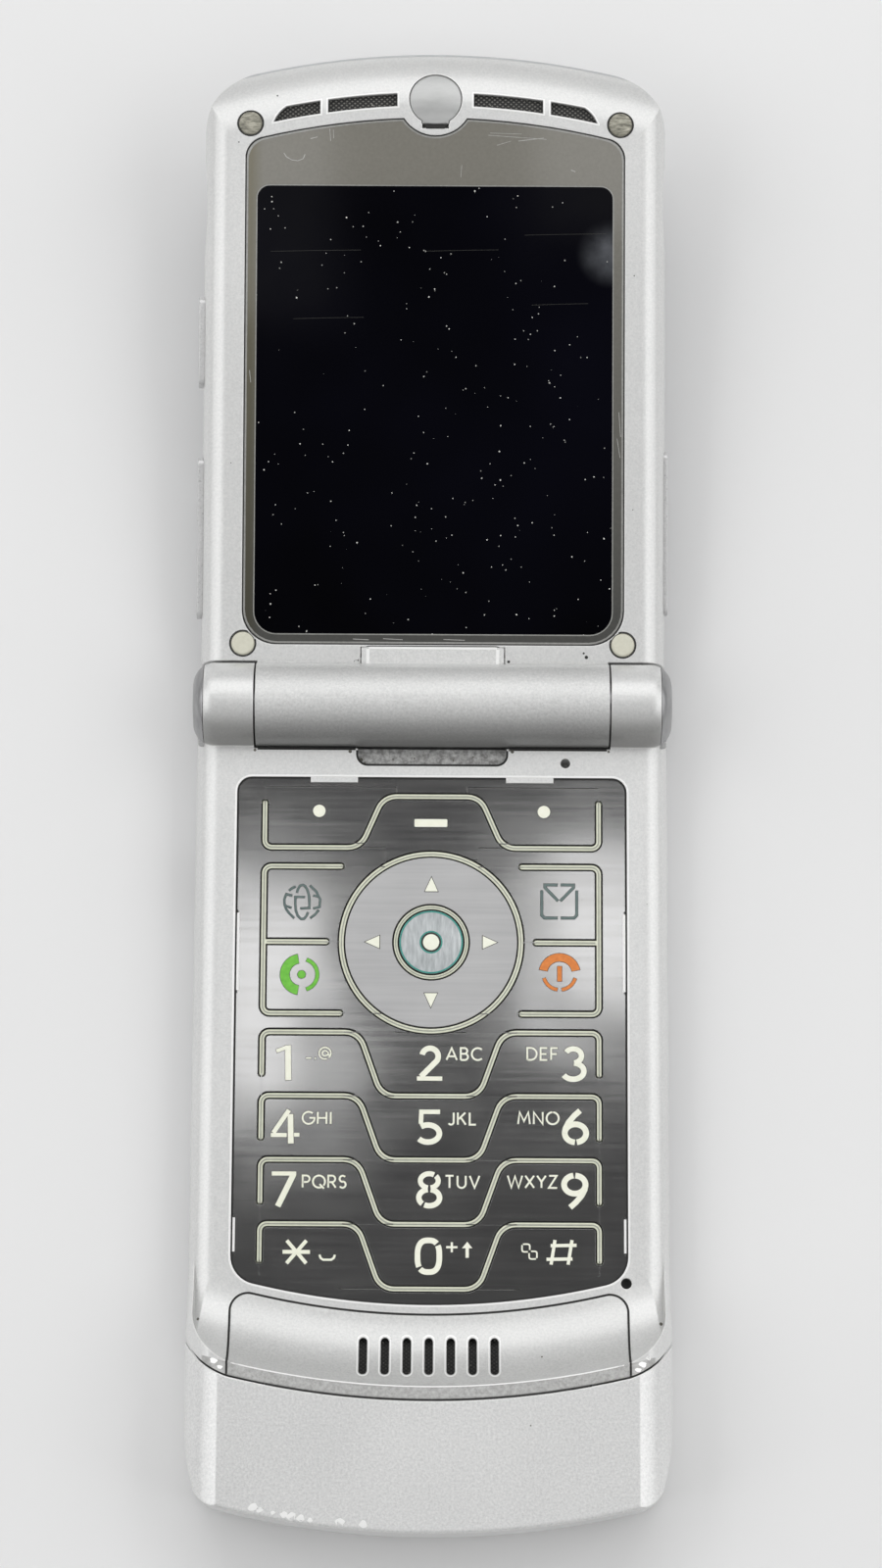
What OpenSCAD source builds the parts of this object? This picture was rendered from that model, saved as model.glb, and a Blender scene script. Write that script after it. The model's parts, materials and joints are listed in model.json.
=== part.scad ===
// Ultra-thin clamshell phone, lying open on its back.
// Millimetres. +Z up, +Y from the chin toward the tip of the lid.
// The origin is under the middle of the open phone, on the face it rests on.
// Base parts are drawn with Y running from the hinge axis to the chin.
// Lid parts are drawn with the hinge axis at the origin and the screen face up.

/* [Base] */
// Half the width of the base
base_w = 26.5; // [25:0.1:29]
// Height of the keypad face above the table
base_top = 7.6; // [7.4:0.1:9]
// Height of the raised chin
chin_top = 13.9; // [13:0.1:16]
// Hinge axis to the far edge of the chin
chin_reach = 92.2; // [90:0.1:96]
// Radius of the arched end of the chin
chin_arch = 97; // [80:1:130]
// Hinge axis to where the sides of the chin start to draw in
taper_start = 79.5; // [78:0.1:82]
// Radius on which the sides of the chin draw in
taper_r = 28; // [24:0.5:40]
// Radius of the corners at the end of the chin
taper_corner = 3.2; // [2:0.1:4]
// Width of the shoulders along the sides of the chin
shoulder = 3.75; // [3:0.05:4.2]
// Radius of the shoulders
shoulder_r = 5.5; // [4.5:0.1:7]
// Roll of the top edge of the chin's end
chin_edge = 0.35; // [0.2:0.05:1]
// Roll of the long edges beside the keypad
edge_roll = 2.8; // [1.5:0.1:3.2]
// Roll of the edges along the back
back_roll = 3.2; // [2:0.1:3.6]
// Height where the front and rear housings meet
split_z = 4.2; // [3.8:0.1:4.6]
// Wall of the housings
wall = 1.3; // [0.9:0.1:1.6]

/* [Chin] */
// Width of the fins at the sides of the ramp
fin_width = 0.75; // [0.5:0.05:1.5]
// How far the fins reach out ahead of the ramp
fin_lead = 2.5; // [1:0.1:4]
// Corner radius where the crest turns into the fins
fin_corner = 6.5; // [4:0.1:8]
// Distance behind the hinge of the centre shared by the arched seams
arch_back = 17; // [14:0.5:20]
// Hinge axis to the foot of the sweeping ramp
ramp_reach = 68.2; // [67.9:0.1:69]
// Radius of the sweeping ramp
ramp_radius = 8.9; // [8.6:0.1:9.4]
// Hinge axis to the crest of the ramp
crest_reach = 76.55; // [76:0.05:76.9]
// Hinge axis to the seam of the chin cover
seam_reach = 77.95; // [77.5:0.05:79]
// Width of the dark seams between outer pieces
seam_gap = 0.18; // [0.08:0.01:0.25]
// Plan corner radius of the chin seam
seam_corner = 7.8; // [5:0.1:9]

/* [Grille plate] */
// Half the width of the lower cover plate
grille_w = 21.7; // [19:0.1:23]
// Corner radius of the lower cover plate
grille_corner = 1.9; // [1:0.1:4]
// Thickness of the lower cover plate
grille_skin = 0.8; // [0.6:0.05:1]
// Number of sound slots
slot_count = 7; // [3:1:9]
// Spacing of the sound slots
slot_pitch = 2.39; // [2:0.01:2.8]
// Width of one sound slot
slot_width = 0.9; // [0.6:0.05:1.4]
// Where the sound slots start and end, from the hinge axis
slot_span = [70.9, 75.1]; // [70:0.1:76]

/* [Keypad] */
// Side of the base to the edge of the keypad sheet
pad_side = 4.85; // [4:0.05:5.5]
// Hinge axis to the top edge of the sheet
pad_start = 8.4; // [8:0.1:9]
// Hinge axis to the arched bottom edge of the sheet
pad_reach = 67.1; // [66.8:0.05:67.4]
// Thickness of the sheet
pad_skin = 0.37; // [0.25:0.01:0.45]
// Height of the underside of the sheet
pad_z = 7.05; // [6.95:0.05:7.2]
// Width of the etched grooves
groove = 0.87; // [0.6:0.01:1]
// Hairline where a key has no groove
hairline = 0.06; // [0.04:0.01:0.1]
// Width of the lit rib seen in each groove
rib_width = 0.5; // [0.3:0.01:0.6]
// Distance of the outer groove legs from the centre line
leg_x = 18.67; // [18:0.01:19.2]
// Hinge axis to the top of the first number row
row_start = 37.1; // [36.8:0.05:37.3]
// Pitch of the number rows
row_pitch = 7.1; // [6.9:0.05:7.2]
// Half the width of the middle keys at their top
mid_top = 7.95; // [7:0.05:9]
// Half the width of the middle keys at their bottom
mid_bottom = 5.4; // [4.5:0.05:6.5]
// Fillet of the groove corners
groove_fillet = 2.2; // [1:0.1:2.6]
// Hinge axis to the soft-key groove
soft_groove = 16.25; // [15.8:0.05:16.4]
// Hinge axis to the groove over the menu key
menu_groove = 10.4; // [10:0.05:10.8]
// Hinge axis to the centre of the navigation ring
nav_reach = 26.95; // [26.6:0.05:27.3]
// Outer radius of the navigation groove
nav_groove = 10.43; // [10:0.01:10.6]
// Radius of the select key
select_r = 3.55; // [3:0.05:4]
// How far a key can be pressed
key_travel = 0.2; // [0.1:0.01:0.25]
// Radius of the nub under a key
nub_r = 1; // [0.7:0.05:1.2]

/* [Hinge] */
// Height of the hinge axis above the table
hinge_z = 7.7; // [7.5:0.1:9]
// Radius of the hinge barrel and knuckles
barrel_r = 4.7; // [4.3:0.1:4.8]
// Length of a knuckle, in from the side of the base
knuckle_length = 6.7; // [5.5:0.1:8]
// How far a knuckle stands out past the side of the base
knuckle_proud = 0.35; // [0.1:0.05:0.5]
// Thickness of the cap on the end of a knuckle
cap_skin = 1.2; // [0.8:0.1:1.6]
// Rounding of the outer end of a knuckle
knuckle_roll = 2.4; // [1.5:0.1:3]
// Gap between the end of the barrel and a knuckle
barrel_gap = 0.2; // [0.1:0.05:0.4]
// Gap between the barrel and the housing that wraps it
wrap_gap = 0.25; // [0.15:0.05:0.4]
// Radius of the steel hinge pin
pin_r = 1.8; // [1.5:0.1:2.2]
// Radius of the hinge bush that carries the cable
bush_r = 2.6; // [2.3:0.1:2.8]
// Radius of the spring cartridge
cartridge_r = 3.6; // [3.2:0.1:3.8]
// Running clearance of the pin and the bush
run_fit = 0.04; // [0.02:0.01:0.08]
// Angle by which the open lid stays short of flat
lid_tilt = 8; // [4:0.5:15]

/* [Lid] */
// How far each side of the lid lies in from the side of the base
lid_inset = 0.3; // [0.1:0.05:0.6]
// Hinge axis to the tip of the lid
lid_reach = 75.05; // [74.8:0.05:75.2]
// Thickness of the lid
lid_thick = 6.1; // [5.6:0.1:6.1]
// Plan corner radius of the lid tip
lid_corner = 8; // [6:0.1:10]
// Gap between the two halves when shut
shut_gap = 0.2; // [0.2:0.01:0.4]
// Radius of the roll at the tip of the screen face
tip_roll = 8.6; // [8:0.1:8.6]
// Depth of the finger scallop on each side
scallop_depth = 0.3; // [0.1:0.05:0.5]

/* [Display] */
// Side of the base to the edge of the clear lens
lens_side = 5.05; // [4.5:0.05:6.5]
// Where the lens starts and ends, from the hinge axis
lens_span = [6.95, 66.95]; // [6.5:0.05:68]
// Thickness of the lens
lens_skin = 0.9; // [0.6:0.05:1]
// Radius of the lens corners by the hinge
lens_corner = 3.9; // [1:0.1:5]
// Radius of the round badge place
badge_r = 2.93; // [2:0.01:3.2]
// Hinge axis to the centre of the badge place
badge_reach = 69.2; // [69:0.05:69.4]
// Radius of the dip in the lens around the badge
badge_dip = 4.3; // [3.8:0.05:4.6]
// Height of the earpiece slots
ear_width = 1.5; // [1:0.1:2]
// Inner slots of the earpiece: start and end from the centre line
ear_inner = [4.35, 12.2]; // [4:0.05:13]
// Outer slots of the earpiece: start and end from the centre line
ear_outer = [13.1, 18.4]; // [12.8:0.05:19]
// Half the width of the display module
display_w = 19.3; // [18:0.1:19.6]
// Where the display module starts and ends, from the hinge axis
display_span = [9.8, 60]; // [9:0.1:61]
// Half the width of the outer lens
outer_w = 15; // [13:0.1:17]
// Where the outer lens starts and ends, from the hinge axis
outer_span = [26, 52]; // [24:0.1:54]
// Hinge axis to the camera
camera_reach = 16; // [14.5:0.1:20]
// Radius of the camera's ring
camera_r = 3.5; // [3:0.1:4.5]
// Radius of a rubber bumper
bumper_r = 1.32; // [0.8:0.02:1.6]
// How far a bumper stands proud
bumper_proud = 0.14; // [0.05:0.01:0.15]

/* [Side keys] */
// How far the left keys stand proud of the lid
key_proud = 0.55; // [0.3:0.05:0.8]
// Height of the side keys
side_key_h = 2.2; // [1.6:0.1:2.6]

/* [Battery] */
// Half the width of the battery cover
cover_w = 21.3; // [20:0.1:22]
// Thickness of the battery cover
cover_skin = 0.8; // [0.6:0.05:0.9]
// Where the cover starts and ends, from the hinge axis
cover_span = [20.2, 71.0]; // [19:0.1:72]
// Half the width of the battery
battery_w = 18.2; // [16:0.1:18.4]
// Where the battery starts and ends, from the hinge axis
battery_span = [24.5, 66.5]; // [23:0.1:67]

/* [Inside the base] */
// Where the main board starts and ends, from the hinge axis
board_span = [9.2, 67.5]; // [9:0.1:68]
// Half the width of the SIM holder
sim_w = 13.6; // [13:0.1:15]
// Where the SIM holder starts and ends, from the hinge axis
sim_span = [30, 47.2]; // [27:0.1:50]
// Radius of the loudspeaker
speaker_r = 7.6; // [6:0.1:8]
// Hinge axis to the centre of the loudspeaker
speaker_reach = 78.6; // [78.4:0.1:80]
// Centre of the microphone
mic_place = [21.6, 64.8]; // [20:0.1:66]
// Distance of the case screws in from the sides
screw_inset = 3.9; // [3.7:0.1:4.5]
// Where the two rows of case screws lie, from the hinge axis
screw_rows = [12, 70.6]; // [11:0.1:72]

/* [Charging socket] */
// Where the socket starts and ends, from the hinge axis
usb_span = [15.2, 23.0]; // [14.4:0.1:23.2]
// Length of the socket, in from the side
usb_length = 7.7; // [6.5:0.1:8]

/* [Hidden] */
$fn = 96;
e = 0.01;
hinge_y = (chin_reach - lid_reach * cos(lid_tilt) - 0.45) / 2;
lid_w = base_w - lid_inset;
pad_w = base_w - pad_side;
lens_w = base_w - lens_side;
knuckle_w = base_w + knuckle_proud;
barrel_half = base_w - knuckle_length;
cap_start = knuckle_w - cap_skin;
pivot_end = cap_start - 0.15;
far = base_w + 4;
lid_top = -(shut_gap - (hinge_z - base_top));
lid_back = lid_top - lid_thick;
ramp_r0 = ramp_reach + arch_back;
crest_r = crest_reach + arch_back;
seam_r = seam_reach + arch_back;
shoulder_drop = sqrt(pow(shoulder_r, 2) - pow(shoulder_r - shoulder, 2));
taper_centre = [base_w - taper_r, taper_start];
end_centre = [0, chin_reach - chin_arch];
corner_centre = meet(taper_centre, taper_r - taper_corner + 0.02, end_centre, chin_arch - taper_corner + 0.02);
cavity_corner = 5.2;
crest_z = base_top + ramp_radius - sqrt(pow(ramp_radius, 2) - pow(crest_reach - ramp_reach, 2));
pad_top = pad_z + pad_skin;
board_z = [4.9, 5.5];
dome_z = 5.62;
dome_top = 5.95;
mat_z = [5.62, 6.8];
nub_z = dome_top + key_travel + 0.02;
deck_z = [4.5, 4.85];
nav_in = nav_groove - groove;
sel_out = select_r + 0.8;
tail_reach = 10;
tail_rise = 3.2;
tail_start = 1.3;
tail_r = (pow(tail_reach - tail_start, 2) + pow(tail_rise, 2)) / (2 * tail_rise);
number_keys = [for (r = [0 : 3]) for (c = [-1 : 1]) [c, r]];
side_key_z = (lid_top + lid_back) / 2;
lid_split = side_key_z;
usb_end = usb_length + 0.4 - base_w;
bay_gap = 0.25;
sheet_bends = [[23.55, 32.65], [57.55, 61.7]];
ridge_fall = 0.04;
leg_drop = [4.65, 4.65, 4.65, 4];
screw_places = [for (s = [-1, 1], y = screw_rows) [s * (base_w - screw_inset), y]];

// Which sub-part to draw

// ---------------------------------------------------------------- frames

// Base frame: Y from the hinge axis to the chin.
module base_frame() {
    translate([0, hinge_y, 0])
        mirror([0, 1, 0])
            children();
}

// Lid frame: hinge axis at the origin, screen face up.
module lid_frame() {
    translate([0, hinge_y, hinge_z])
        rotate([lid_tilt, 0, 0])
            children();
}

module both_sides() {
    children();
    mirror([1, 0, 0])
        children();
}

// ---------------------------------------------------------------- shapes

// Half of a slab section with rolled outer edges, for extruding and revolving.
module half_section(r, z0, z1, roll_low, roll_high) {
    translate([0, z0 + roll_low])
        square([r, z1 - z0 - roll_low - roll_high]);
    if (roll_low > 0) {
        translate([0, z0])
            square([r - roll_low, z1 - z0 - roll_high]);
        intersection() {
            translate([r - roll_low, z0 + roll_low])
                circle(roll_low);
            translate([0, z0])
                square([r, z1 - z0]);
        }
    }
    if (roll_high > 0) {
        translate([0, z0 + roll_low])
            square([r - roll_high, z1 - z0 - roll_low]);
        intersection() {
            translate([r - roll_high, z1 - roll_high])
                circle(roll_high);
            translate([0, z0])
                square([r, z1 - z0]);
        }
    }
}

// Slab with straight sides, rounded corners, an arched far end and rolled edges.
module arched_slab(w, reach, arch, corner, y0, z0, z1, roll_low, roll_high) {
    difference() {
        intersection() {
            translate([0, reach + 1, 0])
                rotate([90, 0, 0])
                    linear_extrude(reach + 1 - y0)
                        slab_section(w, z0, z1, roll_low, roll_high);
            translate([0, reach - arch, 0])
                rotate_extrude($fn = 360)
                    half_section(arch, z0, z1, roll_low, roll_high);
        }
        both_sides()
            corner_cut(w, reach, arch, corner, z0 - 1, z1 + 1);
    }
}

// Section of a slab across its width.
module slab_section(w, z0, z1, roll_low, roll_high) {
    low = max(roll_low, e);
    high = max(roll_high, e);
    difference() {
        translate([-w, z0])
            square([2 * w, z1 - z0]);
        for (s = [-1, 1])
            scale([s, 1]) {
                if (roll_low > 0)
                    difference() {
                        translate([w - low, z0 - 1])
                            square([low + 1, low + 1]);
                        translate([w - low, z0 + low])
                            circle(low);
                    }
                if (roll_high > 0)
                    difference() {
                        translate([w - high, z1 - high])
                            square([high + 1, high + 1]);
                        translate([w - high, z1 - high])
                            circle(high);
                    }
            }
    }
}

// What a rounded plan corner leaves off between the side and the arched end.
module corner_cut(w, reach, arch, corner, z0, z1) {
    ease = 0.02;
    k = [w - corner + ease, reach - arch + sqrt(pow(arch - corner + ease, 2) - pow(w - corner + ease, 2))];
    u = [k[0], k[1] - reach + arch] / (arch - corner + ease);
    translate([0, 0, z0])
        linear_extrude(z1 - z0)
            difference() {
                polygon([k, k + u * (corner + 4), [w + 6, k[1] + corner + 4], [w + 6, k[1]]]);
                translate(k)
                    circle(corner);
            }
}

// Plan outline with an arched far end, as a prism.
module arched_prism(w, reach, arch, corner, y0, z0, z1) {
    arched_slab(w, reach, arch, corner, y0, z0, z1, 0, 0);
}

// Profile revolved about the centre shared by the arched seams.
module arch_sweep(half_angle = 24) {
    translate([0, -arch_back, 0])
        rotate([0, 0, 90 - half_angle])
            rotate_extrude(angle = 2 * half_angle, $fn = 240)
                children();
}

// Box with rounded plan corners.
module plate(x0, x1, y0, y1, z0, z1, r) {
    translate([0, 0, z0])
        linear_extrude(z1 - z0) {
            translate([x0 + r, y0])
                square([x1 - x0 - 2 * r, y1 - y0]);
            translate([x0, y0 + r])
                square([x1 - x0, y1 - y0 - 2 * r]);
            for (x = [x0 + r, x1 - r], y = [y0 + r, y1 - r])
                translate([x, y])
                    circle(r);
        }
}

// Plain box given by its limits.
module block(x0, x1, y0, y1, z0, z1) {
    translate([x0, y0, z0])
        cube([x1 - x0, y1 - y0, z1 - z0]);
}

// Cylinder along X.
module bar(r, x0, x1, y = 0, z = 0) {
    translate([x0, y, z])
        rotate([0, 90, 0])
            cylinder(r = r, h = x1 - x0);
}

module post(r, x, y, z0, z1) {
    translate([x, y, z0])
        cylinder(r = r, h = z1 - z0);
}

// ---------------------------------------------------------------- paths

function arc_points(o, r, a0, a1, n = 6) =
    [for (k = [0 : n]) let (a = a0 + (a1 - a0) * k / n) o + r * [cos(a), sin(a)]];

// Points of the fillet at b between the legs to a and c.
function fillet_points(a, b, c, r) =
    let (
        u = (a - b) / norm(a - b),
        v = (c - b) / norm(c - b),
        half = acos(u * v) / 2,
        o = b + (u + v) / norm(u + v) * r / sin(half),
        s = b + u * r / tan(half) - o,
        f = b + v * r / tan(half) - o,
        a0 = atan2(s[1], s[0]),
        turn = (atan2(f[1], f[0]) - a0 + 540) % 360 - 180
    )
    arc_points(o, r, a0, a0 + turn);

// Path through the points of p with the fillets listed in r.
function soft_path(p, r) =
    [for (i = [0 : len(p) - 1])
        each (r[i] == 0 ? [p[i]] : fillet_points(p[i - 1], p[i], p[i + 1], r[i]))];

function side_step(p, i) =
    let (
        a = i == 0 ? p[1] - p[0] : p[i] - p[i - 1],
        b = i == len(p) - 1 ? a : p[i + 1] - p[i],
        u = a / norm(a),
        m = u + b / norm(b),
        t = m / norm(m)
    )
    [-t[1], t[0]] / (t * u);

// Line of constant width along a path, with round ends.
module stroke(p, w) {
    n = len(p) - 1;
    polygon(concat(
        [for (i = [0 : n]) p[i] + side_step(p, i) * w / 2],
        [for (i = [n : -1 : 0]) p[i] - side_step(p, i) * w / 2]
    ));
    for (q = [p[0], p[n]])
        translate(q)
            circle(w / 2, $fn = 24);
}

// Corner points shared by a groove that dips between the outer columns.
function comb(top, low) = [
    [-leg_x, top], [-mid_top, top], [-mid_bottom, low],
    [mid_bottom, low], [mid_top, top], [leg_x, top]
];

comb_fillet = [0, groove_fillet, groove_fillet, groove_fillet, groove_fillet, 0];

function leg_path(top, low, leg) = soft_path(
    concat([[-leg_x, leg]], comb(top, low), [[leg_x, leg]]),
    [0, 0.8, groove_fillet, groove_fillet, groove_fillet, groove_fillet, 0.8, 0]
);

function row_top(r) = row_start + r * row_pitch;

// Every groove of the keypad as a path.
function bracket_path(s) = soft_path(
    [[s * 10.1, 18.4], [s * leg_x, 18.4], [s * leg_x, 35], [s * 10.1, 35]],
    [0, 0.8, 0.8, 0]
);

groove_paths = concat(
    [leg_path(soft_groove, menu_groove, 11.2)],
    [for (r = [0 : 3]) leg_path(row_top(r), row_top(r + 1), row_top(r) + leg_drop[r])],
    [for (s = [-1, 1]) bracket_path(s)],
    [for (s = [-1, 1]) [[s * leg_x, nav_reach], [s * 11.7, nav_reach]]]
);

module grooves(w) {
    for (p = groove_paths)
        stroke(p, w);
}

module ring(r_out, r_in) {
    difference() {
        circle(r_out);
        circle(r_in);
    }
}

// ---------------------------------------------------------------- key cells

function middle_points(top, low) =
    let (p = soft_path(comb(top, low), comb_fillet))
    [for (i = [1 : len(p) - 2]) p[i]];

function outer_points(top, low) =
    let (p = soft_path([for (i = [0 : 3]) comb(top, low)[i]], [0, groove_fillet, groove_fillet, 0]))
    [for (i = [0 : len(p) - 2]) p[i]];

// Cell of a key in column c: -1 left, 0 middle, 1 right.
module number_cell(c, r) {
    if (c == 0)
        polygon(middle_points(row_top(r), row_top(r + 1)));
    else
        scale([-c, 1])
            polygon(concat(
                outer_points(row_top(r), row_top(r + 1)),
                [[-leg_x, row_top(r + 1)]]
            ));
}

soft_top = pad_start + 0.9;

module soft_cell() {
    p = outer_points(soft_groove, menu_groove);
    polygon(concat(p, [[p[len(p) - 1][0], soft_top], [-leg_x, soft_top]]));
}

module menu_cell() {
    p = middle_points(soft_groove, menu_groove);
    polygon(p);
    translate([-5.2, soft_groove - 0.5])
        square([10.4, 1.9]);
}

// Cells beside the navigation ring: row 0 above, row 1 below.
module side_cell(row) {
    translate([-leg_x, row == 0 ? 18.4 : nav_reach])
        square([leg_x, row == 0 ? nav_reach - 18.4 : 35 - nav_reach]);
}

module all_cells() {
    for (k = number_keys)
        number_cell(k[0], k[1]);
    both_sides() {
        soft_cell();
        side_cell(0);
        side_cell(1);
    }
    menu_cell();
}

// Plan of the sheet, shrunk by an inset.
module pad_plan(inset, z0, z1) {
    r = 1.5;
    intersection() {
        arched_prism(pad_w - inset, pad_reach - inset, pad_reach + arch_back - inset,
            max(3 - inset, 0.4), pad_start + inset, z0, z1);
        plate(inset - pad_w, pad_w - inset, pad_start + inset, pad_reach + 9, z0 - 1, z1 + 1, r);
    }
}

// Key plate cut from the sheet, with the nub that pushes its dome.
module key_plate(x, y) {
    intersection() {
        translate([0, 0, pad_z])
            linear_extrude(pad_skin)
                difference() {
                    offset(delta = -hairline / 2)
                        children();
                    grooves(groove);
                    translate([0, nav_reach])
                        circle(nav_groove);
                }
        pad_plan(1, pad_z - 1, pad_z + 1);
    }
    post(nub_r, x, y, nub_z, pad_z + 0.1);
}

module number_key(c, r) {
    color("Silver")
        base_frame()
            key_plate(c * 13, row_top(r) + 3.5)
                number_cell(c, r);
}

nub_places = concat(
    [for (k = number_keys) [k[0] * 13, row_top(k[1]) + 3.5]],
    [[-13, 12.7], [13, 12.7], [0, 13.6], [0, nav_reach]],
    [for (s = [-1, 1], y = [22.6, 31.2]) [s * 14.4, y]]
);

ring_places = [[6.95, 0], [-6.95, 0], [0, 6.95], [0, -6.95]];

// ---------------------------------------------------------------- base form

module knuckle_form() {
    difference() {
        rotate([90, 0, 90])
            rotate_extrude()
                half_section(barrel_r, -knuckle_w, knuckle_w, knuckle_roll, knuckle_roll);
        block(-barrel_half - barrel_gap, barrel_half + barrel_gap, -9, 9, -9, 9);
    }
}

// Under-hinge curve: removes what lies below the tail that runs up to the barrel.
module tail_cut(z0, w) {
    difference() {
        block(-w, w, -barrel_r, tail_reach, z0 - 1, z0 + tail_rise + 1);
        bar(tail_r, -w - 1, w + 1, tail_reach, z0 + tail_r);
    }
}

// Radial section of the space over the keypad, up the ramp and over the rim.
module bay_section(lead = 0) {
    difference() {
        polygon([
            [0, base_top], [crest_r, base_top], [crest_r, crest_z],
            [seam_r, chin_top - 0.05], [seam_r, chin_top + 3], [0, chin_top + 3]
        ]);
        difference() {
            translate([ramp_r0 - lead, base_top - 1])
                square([crest_reach - ramp_reach + lead + 0.02, crest_z - base_top + 1]);
            translate([ramp_r0 - lead, base_top + ramp_radius])
                circle(ramp_radius, $fn = 200);
        }
    }
}

// Roll of the long edge beside the keypad, carried up the side of the ramp.
module edge_cut(lead = 0) {
    y = sqrt(pow(ramp_r0 - lead, 2) - pow(base_w, 2)) - arch_back;
    translate([0, y, 0])
        rotate([90, 0, 0])
            linear_extrude(y + 9)
                difference() {
                    translate([base_w - edge_roll, base_top - edge_roll])
                        square([edge_roll + 1, edge_roll + 0.5]);
                    translate([base_w - edge_roll, base_top - edge_roll])
                        circle(edge_roll);
                }
    translate([0, y, base_top + ramp_radius])
        rotate([0, 90, 0])
            rotate_extrude(angle = 64)
                difference() {
                    translate([ramp_radius - 0.5, base_w - edge_roll])
                        square([edge_roll + 0.5, edge_roll + 1]);
                    translate([ramp_radius + edge_roll, base_w - edge_roll])
                        circle(edge_roll);
                }
}

// Point where two circles cross, on the +x side.
function meet(c1, r1, c2, r2) =
    let (d = norm(c2 - c1))
    let (u = (c2 - c1) / d)
    let (a = (d * d + r1 * r1 - r2 * r2) / (2 * d))
    c1 + a * u + sqrt(r1 * r1 - a * a) * [-u[1], u[0]];

// Section across the chin: square below, with shoulders along the top.
module chin_section() {
    difference() {
        slab_section(base_w, 0, chin_top, back_roll, 0);
        for (s = [-1, 1])
            scale([s, 1])
                difference() {
                    translate([base_w - shoulder, chin_top - shoulder_drop])
                        square([shoulder + 1, shoulder_drop + 1]);
                    translate([base_w - shoulder_r, chin_top - shoulder_drop])
                        circle(shoulder_r);
                }
    }
}

// What the drawn-in sides and the corners of the chin leave off.
module taper_cut() {
    u = (corner_centre - taper_centre) / norm(corner_centre - taper_centre);
    v = (corner_centre - end_centre) / norm(corner_centre - end_centre);
    bearing = atan2(u[1], u[0]) + 1.5;
    past = [cos(bearing), sin(bearing)];
    translate([0, 0, -1])
        linear_extrude(chin_top + 2)
            difference() {
                polygon([
                    [base_w - 4, taper_start], [base_w + 9, taper_start],
                    taper_centre + past * (taper_r + 9), taper_centre + past * (taper_r - 3)
                ]);
                translate(taper_centre)
                    circle(taper_r, $fn = 240);
            }
    translate([0, 0, -1.5])
        linear_extrude(chin_top + 3)
            difference() {
                polygon([
                    corner_centre, corner_centre + v * (taper_corner + 4),
                    [base_w + 6, chin_reach + 4], corner_centre + u * (taper_corner + 8)
                ]);
                translate(corner_centre)
                    circle(taper_corner);
            }
}

module base_slab() {
    difference() {
        intersection() {
            translate([0, chin_reach + 1, 0])
                rotate([90, 0, 0])
                    linear_extrude(chin_reach + 1 - tail_start)
                        chin_section();
            translate([end_centre[0], end_centre[1], 0])
                rotate_extrude($fn = 360)
                    half_section(chin_arch, 0, chin_top, back_roll, chin_edge);
        }
        both_sides()
            taper_cut();
    }
}

// Plan of the scoop, inside the fins that its rim turns up into at the sides.
module scoop_plan() {
    arched_prism(base_w - fin_width, crest_reach - 0.06, crest_r - 0.06, fin_corner, 60, -1, 20);
}

module base_form() {
    difference() {
        union() {
            difference() {
                base_slab();
                intersection() {
                    arch_sweep(180)
                        bay_section(fin_lead);
                    seam_prism(-seam_gap / 2);
                }
                intersection() {
                    both_sides()
                        edge_cut(fin_lead);
                    seam_prism(-seam_gap / 2);
                }
                intersection() {
                    arch_sweep(180)
                        bay_section();
                    scoop_plan();
                }
                intersection() {
                    both_sides()
                        edge_cut();
                    scoop_plan();
                }
                tail_cut(0, far);
            }
            translate([0, 0, hinge_z])
                knuckle_form();
            both_sides()
                block(barrel_half + barrel_gap, base_w - 0.4, 0, tail_start + 1,
                    hinge_z - barrel_r + 0.3, base_top);
        }
        bar(barrel_r + wrap_gap, -barrel_half - barrel_gap, barrel_half + barrel_gap, 0, hinge_z);
        pivot_bores();
    }
}

module pivot_bores() {
    bar(pin_r + e, -pivot_end, -barrel_half, 0, hinge_z);
    bar(bush_r + e, barrel_half, pivot_end, 0, hinge_z);
}

// Everything up to the chin seam, less a gap.
module seam_prism(gap) {
    arched_prism(base_w + 0.6 - gap, seam_reach - gap, seam_r - gap, seam_corner - gap, -9, -1, 20);
}

module base_cavity() {
    arched_slab(base_w - wall, chin_reach - wall, chin_arch - wall, cavity_corner, 8.2,
        1.6, base_top - 0.9, 1.2, 1.2);
    intersection() {
        arched_slab(base_w - wall - 0.8, chin_reach - wall, chin_arch - wall, cavity_corner, 60,
            1.6, chin_top - 1.2, 1.2, 2.6);
        arch_sweep()
            difference() {
                translate([ramp_r0, 0])
                    square([40, chin_top]);
                translate([ramp_r0, base_top + ramp_radius])
                    circle(ramp_radius + grille_skin + 0.9, $fn = 200);
            }
    }
}

// Space over the ramp and rim, sunk by a depth, beyond the foot of the ramp.
module sunk_space(depth) {
    arch_sweep() {
        intersection() {
            translate([ramp_r0, base_top + ramp_radius])
                circle(ramp_radius + depth, $fn = 200);
            translate([ramp_r0 - e, 0])
                square([crest_reach - ramp_reach + depth, 25]);
        }
        polygon([
            [crest_r - 0.5, crest_z - depth], [crest_r, crest_z - depth],
            [seam_r + 1, chin_top + 0.1 - depth], [seam_r + 1, 20], [crest_r - 0.5, 20]
        ]);
    }
}

module grille_plan(gap) {
    intersection() {
        arched_prism(grille_w - gap, seam_reach - gap, seam_r - gap, 0.2, 60, -1, 20);
        difference() {
            block(-30, 30, 60, 90, -1, 20);
            arched_prism(grille_w + 9, grille_start + gap, grille_start + arch_back + gap, 1, 50, -2, 21);
        }
        union() {
            block(-grille_w + grille_corner, grille_w - grille_corner, 60, 90, -1, 20);
            block(-grille_w + gap, grille_w - gap, grille_turn, 90, -1, 20);
            both_sides()
                post(grille_corner - gap, grille_w - grille_corner, grille_turn, -1, 20);
        }
    }
}

grille_start = ramp_reach + seam_gap + 0.02;
grille_turn = sqrt(pow(grille_start + arch_back + grille_corner, 2) - pow(grille_w - grille_corner, 2))
    - arch_back;

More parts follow.
